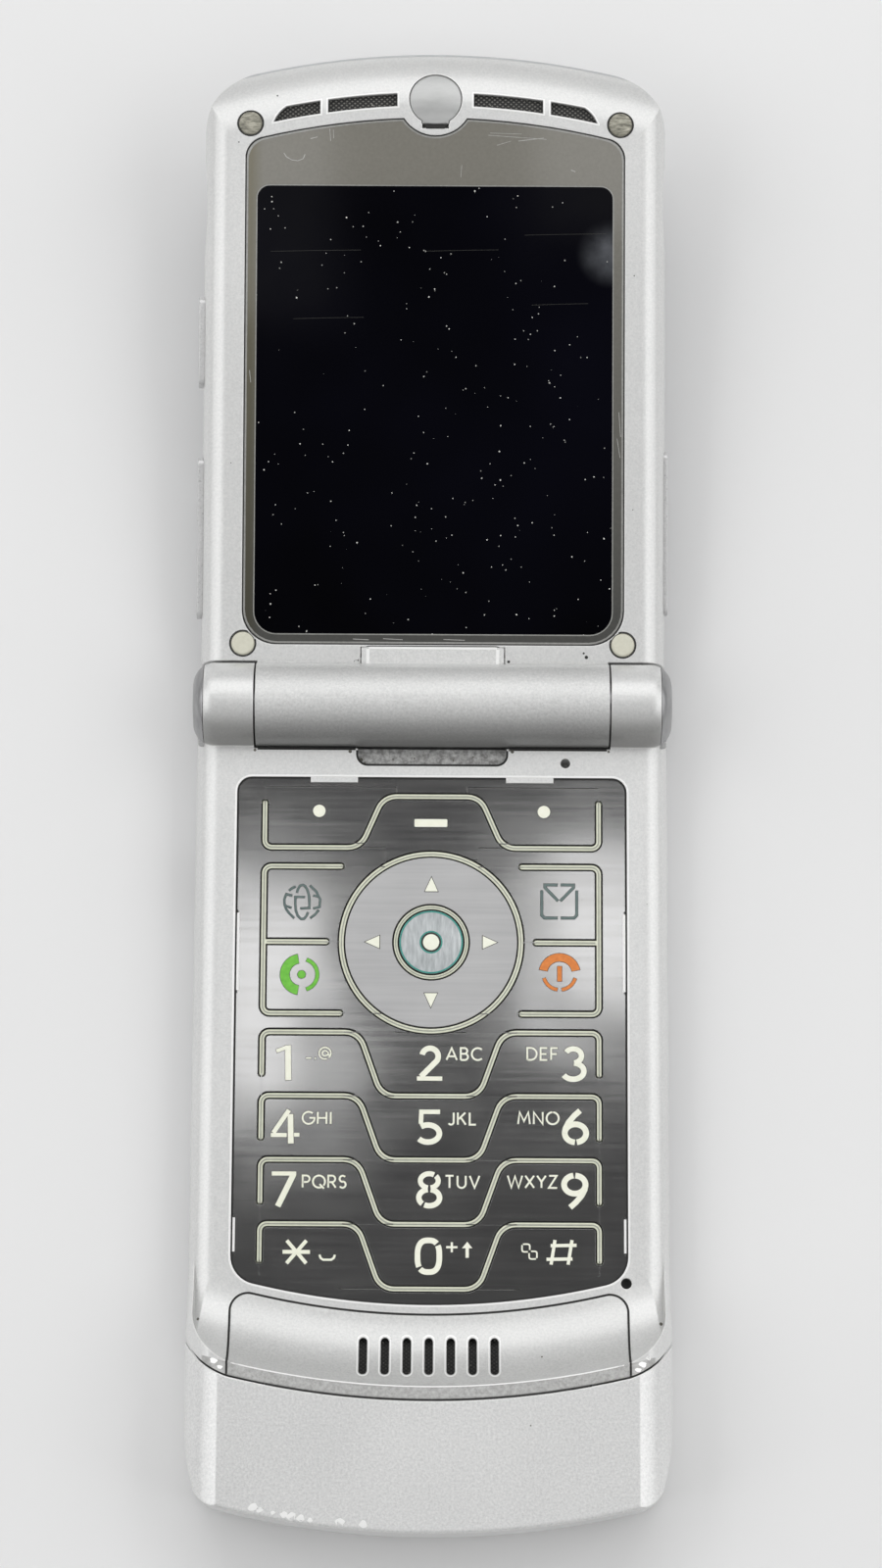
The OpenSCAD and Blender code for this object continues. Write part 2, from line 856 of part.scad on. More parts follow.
module sound_slots(z0, z1) {
    for (i = [0 : slot_count - 1])
        translate([(i - (slot_count - 1) / 2) * slot_pitch, 0, 0])
            plate(-slot_width / 2, slot_width / 2, slot_span[0], slot_span[1],
                z0, z1, slot_width / 2 - e);
}

// ---------------------------------------------------------------- housings

module front_housing() {
    color("Silver")
        base_frame() {
            housing_shell();
            sheet_tabs();
        }
}

module housing_shell() {
    difference() {
        union() {
            intersection() {
                difference() {
                    base_form();
                    base_cavity();
                }
                seam_prism(0);
                block(-far, far, -9, chin_reach, split_z + e, 20);
            }
            for (s = screw_places)
                post(1.9, s[0], s[1], split_z + e, base_top - 0.1);
            arch_sweep(11)
                translate([crest_r + 0.5, chin_top - 2.2])
                    square([5, 0.9]);
        }
        pad_plan(-0.2, pad_z, 9);
        pad_plan(0.85, 5, 9);
        plate(-8.35, 8.35, 3, 6.75, 6.75, 9, 0.8);
        grille_recess();
        post(0.55, 14.95, 6.56, split_z + 0.5, 9);
        post(0.6, mic_place[0], mic_place[1], 6, 9);
        for (s = screw_places)
            post(0.8, s[0], s[1], split_z - 1, base_top - 1.4);
        cap_zone();
        usb_mouth();
    }
}

// Thin tabs of the front housing that hold the edges of the sheet.
module sheet_tabs() {
    both_sides()
        block(8.3, 13.6, pad_start - 0.5, pad_start + 0.45, pad_top + 0.03, base_top - 0.02);
}

module grille_recess() {
    intersection() {
        grille_plan(-seam_gap);
        sunk_space(grille_skin + 0.02);
    }
    block(-9, 9, slot_span[0] - 0.7, slot_span[1] + 0.6, 5, 13);
}

module cap_zone() {
    both_sides()
        bar(barrel_r + 0.06, cap_start - 0.05, far, 0, hinge_z);
}

module usb_mouth() {
    block(-far, usb_end + 0.4, usb_span[0] - 0.1, usb_span[1] + 0.1, 1.7, board_z[0] + 0.02);
}

module rear_housing() {
    bay = [battery_w + bay_gap, battery_span[0] - bay_gap - 0.05, battery_span[1] + bay_gap + 0.05];
    color("Gainsboro")
        base_frame()
            difference() {
                union() {
                    intersection() {
                        difference() {
                            base_form();
                            base_cavity();
                        }
                        seam_prism(0);
                        block(-far, far, -9, chin_reach, -1, split_z);
                    }
                    block(-bay[0] - 0.8, bay[0] + 0.8, bay[1] - 0.8, bay[2] + 0.8, 1.5, deck_z[1]);
                    block(-19, 19, cover_span[1] - 1, seam_reach - 2.05, 1.2, 2.4);
                    block(-19, 19, seam_reach - 2.45, chin_reach - 6.2, 1.63, 2.4);
                    for (s = screw_places)
                        post(1.9, s[0], s[1], 1.5, split_z);
                }
                plate(-cover_w - 0.1, cover_w + 0.1, cover_span[0] - 0.1, cover_span[1] + 0.1,
                    -1, cover_skin + 0.02, 3.1);
                block(-bay[0], bay[0], bay[1], bay[2], -1, deck_z[0]);
                block(-4.1, 4.1, cover_span[1] - 0.5, cover_span[1] + 4.1, -1, cover_skin + 0.3);
                for (s = screw_places) {
                    post(1.7, s[0], s[1], -1, 1.6);
                    post(0.95, s[0], s[1], 0, 9);
                }
                cap_zone();
                usb_mouth();
            }
}

module chin_cover() {
    color("WhiteSmoke")
        base_frame()
            difference() {
                base_form();
                base_cavity();
                seam_prism(-seam_gap);
            }
}

module grille_plate() {
    color("Silver")
        base_frame()
            difference() {
                intersection() {
                    grille_plan(0);
                    sunk_space(grille_skin);
                    base_form();
                }
                sound_slots(5, 15);
            }
}

module grille_mesh() {
    color("DimGray")
        base_frame()
            difference() {
                intersection() {
                    block(-8.9, 8.9, slot_span[0] - 0.6, slot_span[1] + 0.5, 5, 13);
                    sunk_space(grille_skin + 0.35);
                }
                sunk_space(grille_skin + 0.03);
            }
}

module knuckle_caps() {
    color("Gray")
        base_frame()
            intersection() {
                translate([0, 0, hinge_z])
                    knuckle_form();
                both_sides()
                    bar(barrel_r, cap_start, far, 0, hinge_z);
            }
}

// ---------------------------------------------------------------- keypad

module keypad_sheet() {
    color("DarkGray")
        base_frame()
            intersection() {
                pad_plan(0, pad_z, pad_top);
                translate([0, 0, pad_z - 1])
                    linear_extrude(3)
                        difference() {
                            translate([-25, 0])
                                square([50, 75]);
                            intersection() {
                                offset(delta = hairline / 2)
                                    all_cells();
                                pad_key_area();
                            }
                            grooves(groove);
                            translate([0, nav_reach])
                                circle(nav_groove);
                            sheet_notches();
                        }
            }
}

// Small notches that end each bent edge of the sheet.
module sheet_notches() {
    for (rows = sheet_bends, y = rows, x = [-pad_w, pad_w])
        translate([x, y])
            rotate(45)
                square(0.28, center = true);
}

// Area of the sheet that the keys may use.
module pad_key_area() {
    inset = 1 - hairline / 2;
    intersection() {
        translate([inset - pad_w, pad_start])
            square([2 * (pad_w - inset), 60]);
        translate([0, -arch_back])
            circle(pad_reach + arch_back - inset, $fn = 360);
    }
}

module keypad_mat() {
    color("HoneyDew")
        base_frame()
            difference() {
                union() {
                    pad_plan(1, mat_z[0], mat_z[1]);
                    intersection() {
                        translate([0, 0, mat_z[0] + 0.5])
                            linear_extrude(pad_top - 0.06 - mat_z[0] - 0.5) {
                                grooves(rib_width);
                                translate([0, nav_reach]) {
                                    ring(nav_groove - 0.18, nav_in + 0.19);
                                    ring(sel_out - 0.2, select_r + 0.2);
                                }
                            }
                        pad_plan(1, 5, 9);
                    }
                }
                for (p = nub_places) {
                    post(2.3, p[0], p[1], 5, dome_top + 0.1);
                    post(nub_r + 0.1, p[0], p[1], 5, mat_z[1] + 0.02);
                }
                for (p = ring_places) {
                    post(2, p[0], nav_reach + p[1], 5, dome_top + 0.1);
                    post(nub_r + 0.15, p[0], nav_reach + p[1], 5, mat_z[1] + 0.02);
                }
                translate([0, nav_reach, 6.05])
                    linear_extrude(1)
                        ring(5.95, sel_out - 0.05);
                translate([0, nav_reach, mat_z[1] - 0.18])
                    linear_extrude(1)
                        ring(nav_in + 0.1, 5.9);
            }
}

module dome_sheet() {
    color("LightSteelBlue")
        base_frame() {
            pad_plan(1.2, board_z[1], dome_z);
            for (p = nub_places)
                dome(p[0], p[1], 2);
            for (p = ring_places)
                dome(p[0], nav_reach + p[1], 1.7);
        }
}

// Shallow snap dome.
module dome(x, y, r) {
    h = dome_top - dome_z + 0.05;
    big = (r * r + h * h) / (2 * h);
    translate([x, y, dome_z - 0.05])
        intersection() {
            translate([0, 0, h - big])
                sphere(big);
            cylinder(r = r, h = h);
        }
}

// Rocker under the ring, with a ridge that the ring tilts on.
module nav_pivot() {
    r = 5.8;
    color("DimGray")
        base_frame()
            translate([0, nav_reach, 0])
                intersection() {
                    translate([0, 0, 6.3])
                        linear_extrude(1)
                            ring(r, sel_out + 0.1);
                    translate([0, r + 1, 0])
                        rotate([90, 0, 0])
                            linear_extrude(2 * r + 2)
                                polygon([
                                    [-r - 1, 6], [r + 1, 6], [r + 1, pad_z - ridge_fall * (r + 1)],
                                    [0, pad_z], [-r - 1, pad_z - ridge_fall * (r + 1)]
                                ]);
                }
}

module nav_ring() {
    color("Silver")
        base_frame()
            translate([0, nav_reach, 0]) {
                translate([0, 0, pad_z])
                    linear_extrude(pad_skin)
                        ring(nav_in, sel_out);
                for (p = ring_places)
                    post(nub_r, p[0], p[1], nub_z, pad_z + 0.1);
            }
}

module select_key() {
    color("Silver")
        base_frame() {
            post(select_r, 0, nav_reach, pad_z, pad_top);
            post(nub_r, 0, nav_reach, nub_z, pad_z + 0.1);
        }
}

module soft_key_left() {
    color("Silver")
        base_frame()
            key_plate(-13, 12.7)
                soft_cell();
}

module soft_key_right() {
    mirror([1, 0, 0])
        soft_key_left();
}

module menu_key() {
    color("Silver")
        base_frame()
            key_plate(0, 13.6)
                menu_cell();
}

module web_key() {
    color("Silver")
        base_frame()
            key_plate(-14.4, 22.6)
                side_cell(0);
}

module message_key() {
    mirror([1, 0, 0])
        web_key();
}

module call_key() {
    color("Silver")
        base_frame()
            key_plate(-14.4, 31.2)
                side_cell(1);
}

module end_key() {
    mirror([1, 0, 0])
        call_key();
}

// ---------------------------------------------------------------- inside the base

module main_board() {
    color("DarkGreen")
        base_frame()
            difference() {
                plate(wall + 0.8 - base_w, base_w - wall - 0.8, board_span[0], board_span[1],
                    board_z[0], board_z[1], 1.5);
                for (s = screw_places)
                    post(2, s[0], s[1], 4, 6);
            }
}

module board_shield() {
    color("Silver")
        base_frame()
            difference() {
                shield_form(0, 2.3, board_z[0], 0.8);
                shield_form(0.3, 2.6, board_z[0] + 1, 0.5);
            }
}

module shield_form(inset, z0, z1, r) {
    plate(usb_end + 2.4 + inset, base_w - screw_inset - 2.8 - inset, board_span[0] + 0.8 + inset,
        usb_span[1] - 0.2 - inset, z0, z1, r);
}

module microphone() {
    color("DimGray")
        base_frame()
            difference() {
                post(1.9, mic_place[0], mic_place[1], board_z[1], 6.68);
                post(0.5, mic_place[0], mic_place[1], 6.3, 7);
            }
}

module loudspeaker() {
    color("DimGray")
        base_frame() {
            difference() {
                post(speaker_r, 0, speaker_reach, 2.42, board_z[0]);
                post(speaker_r - 0.8, 0, speaker_reach, 4.3, 6);
            }
            post(speaker_r - 0.8, 0, speaker_reach, 4.2, 4.5);
            post(speaker_r / 2 - 0.4, 0, speaker_reach, 4.4, 4.7);
        }
}

module antenna() {
    color("Goldenrod")
        base_frame()
            difference() {
                arched_prism(base_w - wall - 2.2, chin_reach - wall - 0.3, chin_arch - wall - 0.3,
                    3.6, chin_reach - wall - 4.3, 2.8, chin_top - 2.4);
                arched_prism(base_w - wall - 3.2, chin_reach - wall - 1.3, chin_arch - wall - 1.3,
                    2.6, chin_reach - 12, 3.8, chin_top);
            }
}

module usb_socket() {
    color("Silver")
        base_frame()
            difference() {
                plate(usb_end - usb_length, usb_end, usb_span[0], usb_span[1], 1.72, board_z[0], 0.3);
                difference() {
                    block(-far, usb_end - 0.6, usb_span[0] + 0.4, usb_span[1] - 0.4, 2.05, 4.5);
                    block(usb_end - usb_length + 1.1, usb_end, usb_span[0] + 1.7, usb_span[1] - 1.7,
                        2.9, 3.6);
                }
            }
}

module sim_holder() {
    color("Silver")
        base_frame()
            difference() {
                plate(-sim_w, sim_w, sim_span[0], sim_span[1], 3.85, deck_z[0], 0.6);
                block(1 - sim_w, sim_w - 1, sim_span[0] - 1, sim_span[1] - 1, 3.95, 4.3);
                plate(4.6 - sim_w, sim_w - 4.6, sim_span[0] + 3, sim_span[1] - 4.2, 3, 5, 1);
            }
}

module battery() {
    color("DarkSlateGray")
        base_frame()
            plate(-battery_w, battery_w, battery_span[0], battery_span[1],
                cover_skin + 0.1, 3.8, 1.6);
}

module battery_cover() {
    color("Silver")
        base_frame() {
            plate(-cover_w, cover_w, cover_span[0], cover_span[1], 0, cover_skin, 3);
            for (x = [-12, 0, 12])
                block(x - 2, x + 2, battery_span[0] - 0.25, battery_span[0] - 0.05,
                    cover_skin - 0.1, cover_skin + 1.2);
        }
}

module cover_latch() {
    color("Gainsboro")
        base_frame()
            difference() {
                plate(-4, 4, cover_span[1] + 0.15, cover_span[1] + 3, 0.05, cover_skin + 0.25, 0.6);
                for (y = [0.8, 1.4, 2])
                    block(-2.6, 2.6, cover_span[1] + y, cover_span[1] + y + 0.25, -1, 0.2);
            }
}

module case_screws() {
    color("DimGray")
        base_frame()
            for (s = screw_places)
                difference() {
                    union() {
                        post(0.8, s[0], s[1], 1.5, base_top - 1.5);
                        post(1.55, s[0], s[1], 0.6, 1.6);
                    }
                    translate([s[0], s[1], 0.5])
                        cylinder(r = 0.75, h = 0.7, $fn = 6);
                }
}

// ---------------------------------------------------------------- hinge

module hinge_pin() {
    color("SlateGray")
        base_frame() {
            bar(pin_r, e - pivot_end, 7.8 - barrel_half, 0, hinge_z);
            bar(pin_r - 0.4, 7.7 - barrel_half, 8.6 - barrel_half, 0, hinge_z);
        }
}

module hinge_bush() {
    color("DarkGray")
        base_frame()
            difference() {
                bar(bush_r, barrel_half - 7.6, pivot_end - e, 0, hinge_z);
                bar(bush_r - 0.7, barrel_half - 8, far, 0, hinge_z);
            }
}

module hinge_cartridge() {
    color("LightSlateGray")
        lid_frame()
            difference() {
                union() {
                    bar(cartridge_r, 0.3 - barrel_half, 13.8 - barrel_half);
                    bar(cartridge_r - 0.8, 13.7 - barrel_half, 14.6 - barrel_half);
                }
                bar(pin_r + run_fit, -barrel_half - 1, 8.8 - barrel_half);
            }
}

module hinge_barrel() {
    color("Silver")
        lid_frame()
            difference() {
                union() {
                    bar(barrel_r, -barrel_half, barrel_half);
                    plate(2.3 - barrel_half, barrel_half - 2.3, 3, 9, lid_back + 2.1, lid_top - 2, 0.8);
                    tab_form();
                }
                bar(cartridge_r, -barrel_half - 1, 14.6 - barrel_half);
                bar(2, 14.5 - barrel_half, barrel_half - 8.2);
                bar(bush_r + run_fit, barrel_half - 8.3, barrel_half + 1);
                block(-3.5, 3.5, 0, 12, -1.4 - 1.2, -1.4);
            }
}

// Raised tab that drops into the pocket beside the keypad when shut.
module tab_form() {
    half = 8.05;
    translate([0, 6.55, 0])
        rotate([90, 0, 0])
            linear_extrude(2.3)
                polygon([
                    [-half, lid_top], [-half + 0.9, 0.55], [half - 0.9, 0.55], [half, lid_top],
                    [half, -1.6], [-half, -1.6]
                ]);
    block(-half, half, 2.5, 6.5, -1.6, lid_top - 0.02);
}

// ---------------------------------------------------------------- lid

module lid_form() {
    difference() {
        arched_slab(lid_w, lid_reach, lid_reach + arch_back, lid_corner, tail_start,
            lid_back, lid_top, 2.9, edge_roll);
        roll_cut(0);
        both_sides() {
            translate([lid_w + 50 - scallop_depth, 56.9, -10])
                cylinder(r = 50, h = 20, $fn = 400);
            bar(barrel_r + 0.3, barrel_half - 0.05, far);
        }
        bar(barrel_r + 0.02, -barrel_half - 1, barrel_half + 1);
        tail_cut(lid_back, far);
    }
}

// What lies above the rolled tip of the screen face, raised by a height.
module roll_cut(rise) {
    arch_sweep()
        difference() {
            translate([ramp_r0, lid_top - tip_roll])
                square([30, tip_roll + 20]);
            translate([ramp_r0, lid_top - tip_roll])
                circle(tip_roll + rise, $fn = 200);
        }
}

module lid_cavity() {
    back = 2.8;
    arched_slab(lid_w - wall, lid_reach - back, lid_reach + arch_back - back, lid_corner - wall, 9.5,
        lid_back + 0.9, lid_top - 1.9, 1.3, 0.6);
}

module lens_plan(gap, z0, z1) {
    w = lens_w + gap;
    difference() {
        intersection() {
            arched_prism(w, lens_span[1] + gap, lens_span[1] + arch_back + gap, 2.4 + gap,
                lens_span[0] - gap, z0, z1);
            plate(-w, w, lens_span[0] - gap, 80, z0 - 1, z1 + 1, lens_corner);
        }
        post(badge_dip - gap, 0, badge_reach, z0 - 1, z1 + 1);
    }
}

// Ring sector of an earpiece slot between two distances from the centre line.
module ear_slot(x0, x1, z0, z1) {
    intersection() {
        difference() {
            translate([0, -arch_back, z0])
                cylinder(r = ear_r[1], h = z1 - z0, $fn = 360);
            translate([0, -arch_back, z0 - 1])
                cylinder(r = ear_r[0], h = z1 - z0 + 2, $fn = 360);
        }
        plate(x0, x1, 60, 75, z0 - 1, z1 + 1, 0.4);
        union() {
            block(0, ear_tip[0], 60, 75, z0 - 1, z1 + 1);
            post(ear_outer[1] - ear_tip[0] + 0.2, ear_tip[0], ear_tip[1], z0 - 1, z1 + 1);
        }
    }
}

ear_tip = [ear_outer[1] - 3.5, badge_reach - 4];

ear_r = [for (s = [-1, 1]) badge_reach + arch_back + s * ear_width / 2];

module ear_slots(z0, z1, gap = 0) {
    both_sides()
        for (p = [ear_inner, ear_outer])
            ear_slot(p[0] + gap, p[1] - gap, z0, z1);
}

bumper_places = [[lid_w - 5.2, 66.3], [lid_w - 4.8, 6.95]];

module badge_plan(gap, z0, z1) {
    post(badge_r + gap, 0, badge_reach, z0, z1);
    block(-1.5 - gap, 1.5 + gap, badge_reach - badge_r + 0.08, badge_reach, z0, z1);
}

// Upright rounded pad in the side wall: from distance x inward by a depth.
module side_pad(s, x, depth, y0, y1, h) {
    translate([s * x, 0, side_key_z])
        rotate([0, -90 * s, 0])
            plate(-h, h, y0, y1, 0, depth, h - 0.2);
}

// Hole and inner pocket for a side key.
module side_hole(s, y0, y1) {
    h = side_key_h / 2;
    side_pad(s, lid_w + 2, 5, y0 - 0.1, y1 + 0.1, h + 0.1);
    side_pad(s, lid_w - wall, 2, y0 - 0.8, y1 + 0.8, h + 0.6);
}

smart_span = [36.4, 46.8];
rocker_span = [10, 28.4];
voice_span = [10.6, 29.3];
rocker_mid = (rocker_span[0] + rocker_span[1]) / 2;

module side_holes() {
    side_hole(-1, smart_span[0], smart_span[1]);
    side_hole(-1, rocker_span[0], rocker_span[1]);
    side_hole(1, voice_span[0], voice_span[1]);
}

module lid_inner_housing() {
    color("Silver")
        lid_frame()
            difference() {
                union() {
                    intersection() {
                        difference() {
                            lid_form();
                            lid_cavity();
                        }
                        block(-40, 40, 0, 90, lid_split + e, 5);
                    }
                }
                lens_plan(0.1, lid_top - lens_skin - 0.05, 3);
                display_form(-0.2, -4, 3, 1);
                ear_slots(-9, 3);
                badge_plan(0.08, lid_top - 1.35, 3);
                block(-1.5, 1.5, badge_reach - badge_r - 0.47, badge_reach - badge_r + 0.23,
                    lid_top - 1.35, 3);
                both_sides()
                    for (p = bumper_places)
                        post(bumper_r + 0.06, p[0], p[1], lid_top - 0.9, 3);
                plate(2.2 - barrel_half, barrel_half - 2.2, 2, 9.1, lid_back, lid_top - 1.9, 0.8);
                block(-8.15, 8.15, 2, 6.6, -1.65, 3);
                side_holes();
            }
}

module lid_outer_housing() {
    color("Gainsboro")
        lid_frame()
            difference() {
                intersection() {
                    difference() {
                        lid_form();
                        lid_cavity();
                    }
                    block(-40, 40, 0, 90, -20, lid_split);
                }
                plate(2.2 - barrel_half, barrel_half - 2.2, 2, 9.1, lid_back + 2, lid_top, 0.8);
                outer_form(-0.1, lid_back - 1, lid_back + 0.75, 3.1);
                outer_form(2, lid_back - 1, 0, 1.5);
                post(camera_r + 0.1, 0, camera_reach, lid_back - 1, 0);
                side_holes();
            }
}

module display_lens() {
    color("DimGray")
        lid_frame()
            lens_plan(0, lid_top - lens_skin - 0.03, lid_top - 0.08);
}

module display_form(inset, z0, z1, r) {
    plate(inset - display_w, display_w - inset, display_span[0] + inset, display_span[1] - inset,
        z0, z1, r);
}

module outer_form(inset, z0, z1, r) {
    plate(inset - outer_w, outer_w - inset, outer_span[0] + inset, outer_span[1] - inset, z0, z1, r);
}

module display_module() {
    color("Black")
        lid_frame() {
            display_form(0, lid_top - 3.6, lid_top - lens_skin - 0.06, 0.8);
            outer_form(2.3, lid_back + 0.9, lid_top - 3.5, 0.6);
        }
}

module earpiece() {
    color("DimGray")
        lid_frame()
            plate(-ear_outer[1] - 0.8, ear_outer[1] + 0.8, display_span[1] + 1, badge_reach + 0.8,
                lid_back + 1.3, lid_top - 2.5, 2);
}

module earpiece_mesh() {
    color("DimGray")
        lid_frame()
            ear_slots(lid_top - 2.45, lid_top - 0.75, 0.05);
}

module badge_disc() {
    color("WhiteSmoke")
        lid_frame()
            difference() {
                badge_plan(0, lid_top - 1.3, lid_top - 0.1);
                roll_cut(-0.1);
            }
}

module lid_bumpers() {
    color("Tan")
        lid_frame()
            difference() {
                both_sides()
                    for (p = bumper_places)
                        bumper(p[0], p[1]);
                roll_cut(bumper_proud);
            }
}

// Low rubber bumper with a domed top.
module bumper(x, y) {
    translate([x, y, lid_top - 0.88])
        rotate_extrude()
            half_section(bumper_r, 0, 0.88 + bumper_proud, 0, 0.3);
}

module outer_lens() {
    color("DimGray")
        lid_frame()
            outer_form(0, lid_back + 0.02, lid_back + 0.72, 3);
}

module camera_module() {
    color("Black")
        lid_frame()
            difference() {
                union() {
                    post(camera_r, 0, camera_reach, lid_back + 0.1, lid_back + 1.4);
                    post(camera_r - 0.9, 0, camera_reach, lid_back + 0.9, lid_top - 3.7);
                }
                post(camera_r - 1.6, 0, camera_reach, lid_back, lid_back + 0.5);
            }
}

// Side key: proud face, stem through the wall and a flange that keeps it in.
module side_key(s, span, proud) {
    h = side_key_h / 2;
    side_pad(s, lid_w + proud, proud + wall + 0.6, span[0], span[1], h);
    side_pad(s, lid_w - wall - 0.5, 0.6, span[0] - 0.6, span[1] + 0.6, h + 0.45);
}

module smart_key() {
    color("Gainsboro")
        lid_frame()
            side_key(-1, smart_span, key_proud);
}

module volume_rocker() {
    color("Gainsboro")
        lid_frame()
            difference() {
                side_key(-1, rocker_span, key_proud);
                translate([-lid_w - key_proud - 3.2, rocker_mid, -9])
                    cylinder(r = 3.5, h = 12);
            }
}

module voice_key() {
    color("Gainsboro")
        lid_frame()
            side_key(1, voice_span, key_proud - 0.25);
}

// ---------------------------------------------------------------- sub-parts

front_housing();
rear_housing();
chin_cover();
grille_plate();
grille_mesh();
keypad_sheet();
keypad_mat();
dome_sheet();
main_board();
board_shield();
microphone();
loudspeaker();
antenna();
usb_socket();
sim_holder();
battery();
battery_cover();
cover_latch();
case_screws();
hinge_pin();
hinge_bush();
knuckle_caps();
soft_key_left();
soft_key_right();
menu_key();
web_key();
message_key();
call_key();
end_key();
nav_pivot();
nav_ring();
select_key();
number_key(-1, 0);  // key_1
number_key(0, 0);  // key_2
number_key(1, 0);  // key_3
number_key(-1, 1);  // key_4
number_key(0, 1);  // key_5
number_key(1, 1);  // key_6
number_key(-1, 2);  // key_7
number_key(0, 2);  // key_8
number_key(1, 2);  // key_9
number_key(-1, 3);  // key_star
number_key(0, 3);  // key_0
number_key(1, 3);  // key_hash
lid_inner_housing();
lid_outer_housing();
hinge_barrel();
hinge_cartridge();
display_lens();
display_module();
earpiece();
earpiece_mesh();
badge_disc();
lid_bumpers();
outer_lens();
camera_module();
smart_key();
volume_rocker();
voice_key();
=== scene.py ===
import json
import math

import bmesh
import bpy
from mathutils import Matrix, Vector
from mathutils.bvhtree import BVHTree


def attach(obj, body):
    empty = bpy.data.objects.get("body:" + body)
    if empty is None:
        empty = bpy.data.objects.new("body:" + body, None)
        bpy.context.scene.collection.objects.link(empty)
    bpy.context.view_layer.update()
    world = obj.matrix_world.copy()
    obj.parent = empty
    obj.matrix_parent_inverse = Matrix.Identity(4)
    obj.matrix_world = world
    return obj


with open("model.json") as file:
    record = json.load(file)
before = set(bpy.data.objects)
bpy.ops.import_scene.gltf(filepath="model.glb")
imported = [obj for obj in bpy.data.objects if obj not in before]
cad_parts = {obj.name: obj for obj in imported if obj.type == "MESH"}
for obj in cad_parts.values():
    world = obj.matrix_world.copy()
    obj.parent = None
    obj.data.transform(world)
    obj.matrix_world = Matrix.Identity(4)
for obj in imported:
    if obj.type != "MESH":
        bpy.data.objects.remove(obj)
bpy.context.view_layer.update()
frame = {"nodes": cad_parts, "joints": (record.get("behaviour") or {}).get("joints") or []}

# ---------- frames
# Sizes below are in millimetres, drawn in the base's or the lid's own frame.
# Base: x, distance from the hinge toward the chin, height.
# Lid: x, distance from the hinge toward the tip, height over the screen face's datum.

MM = 0.001
HINGE = Vector(next(j["pos_m"] for j in frame["joints"] if j["name"] == "lid_hinge"))
TILT = math.radians(8)  # how far the open lid stands up from flat
LID_TOP = -0.1
KEY_TOP = 7.42
# In each half's own frame, its long arcs run about a centre this far on the other side of the hinge.
ARCH = 17.0


def base(p):
    return Vector((p[0] * MM, HINGE.y - p[1] * MM, p[2] * MM))


def lid(p):
    turn = Matrix.Rotation(TILT, 3, "X")
    return HINGE + turn @ Vector((p[0] * MM, p[1] * MM, p[2] * MM))


# ---------- flat outlines

def arc(cx, cy, rx, a0, a1, ry=None, n=None):
    """Points of an elliptical arc from a0 to a1, in degrees."""
    ry = rx if ry is None else ry
    n = n or max(4, int(abs(a1 - a0) / 9))
    steps = [math.radians(a0 + (a1 - a0) * k / n) for k in range(n + 1)]
    return [(cx + rx * math.cos(a), cy + ry * math.sin(a)) for a in steps]


def sides(path, width, closed=False):
    """Left and right edge points of a line of constant width."""
    pts = [Vector(p) for p in path]
    left, right = [], []
    for i, p in enumerate(pts):
        a = (p - pts[i - 1]).normalized() if i or closed else None
        b = (pts[(i + 1) % len(pts)] - p).normalized() if i < len(pts) - 1 or closed else None
        a, b = a or b, b or a
        t = (a + b).normalized()
        side = Vector((-t.y, t.x)) / max(t.dot(a), 0.5) * width / 2
        left.append(p + side)
        right.append(p - side)
    return left, right


def clean(pts):
    """A closed loop without points that repeat the one before."""
    return [p for i, p in enumerate(pts) if math.dist(p[:2], pts[i - 1][:2]) > 1e-4]


def finer(path, closed=False):
    """A path with points no farther apart than a step, so that it follows a curved surface."""
    step = 0.5
    out = []
    for a, b in zip(path, path[1:] + path[:1] if closed else path[1:]):
        n = max(1, math.ceil(math.hypot(b[0] - a[0], b[1] - a[1]) / step))
        out += [(a[0] + (b[0] - a[0]) * k / n, a[1] + (b[1] - a[1]) * k / n) for k in range(n)]
    return out if closed else out + [tuple(path[-1][:2])]


def put(name, data):
    """A new object in the scene."""
    obj = bpy.data.objects.new(name, data)
    bpy.context.scene.collection.objects.link(obj)
    return obj


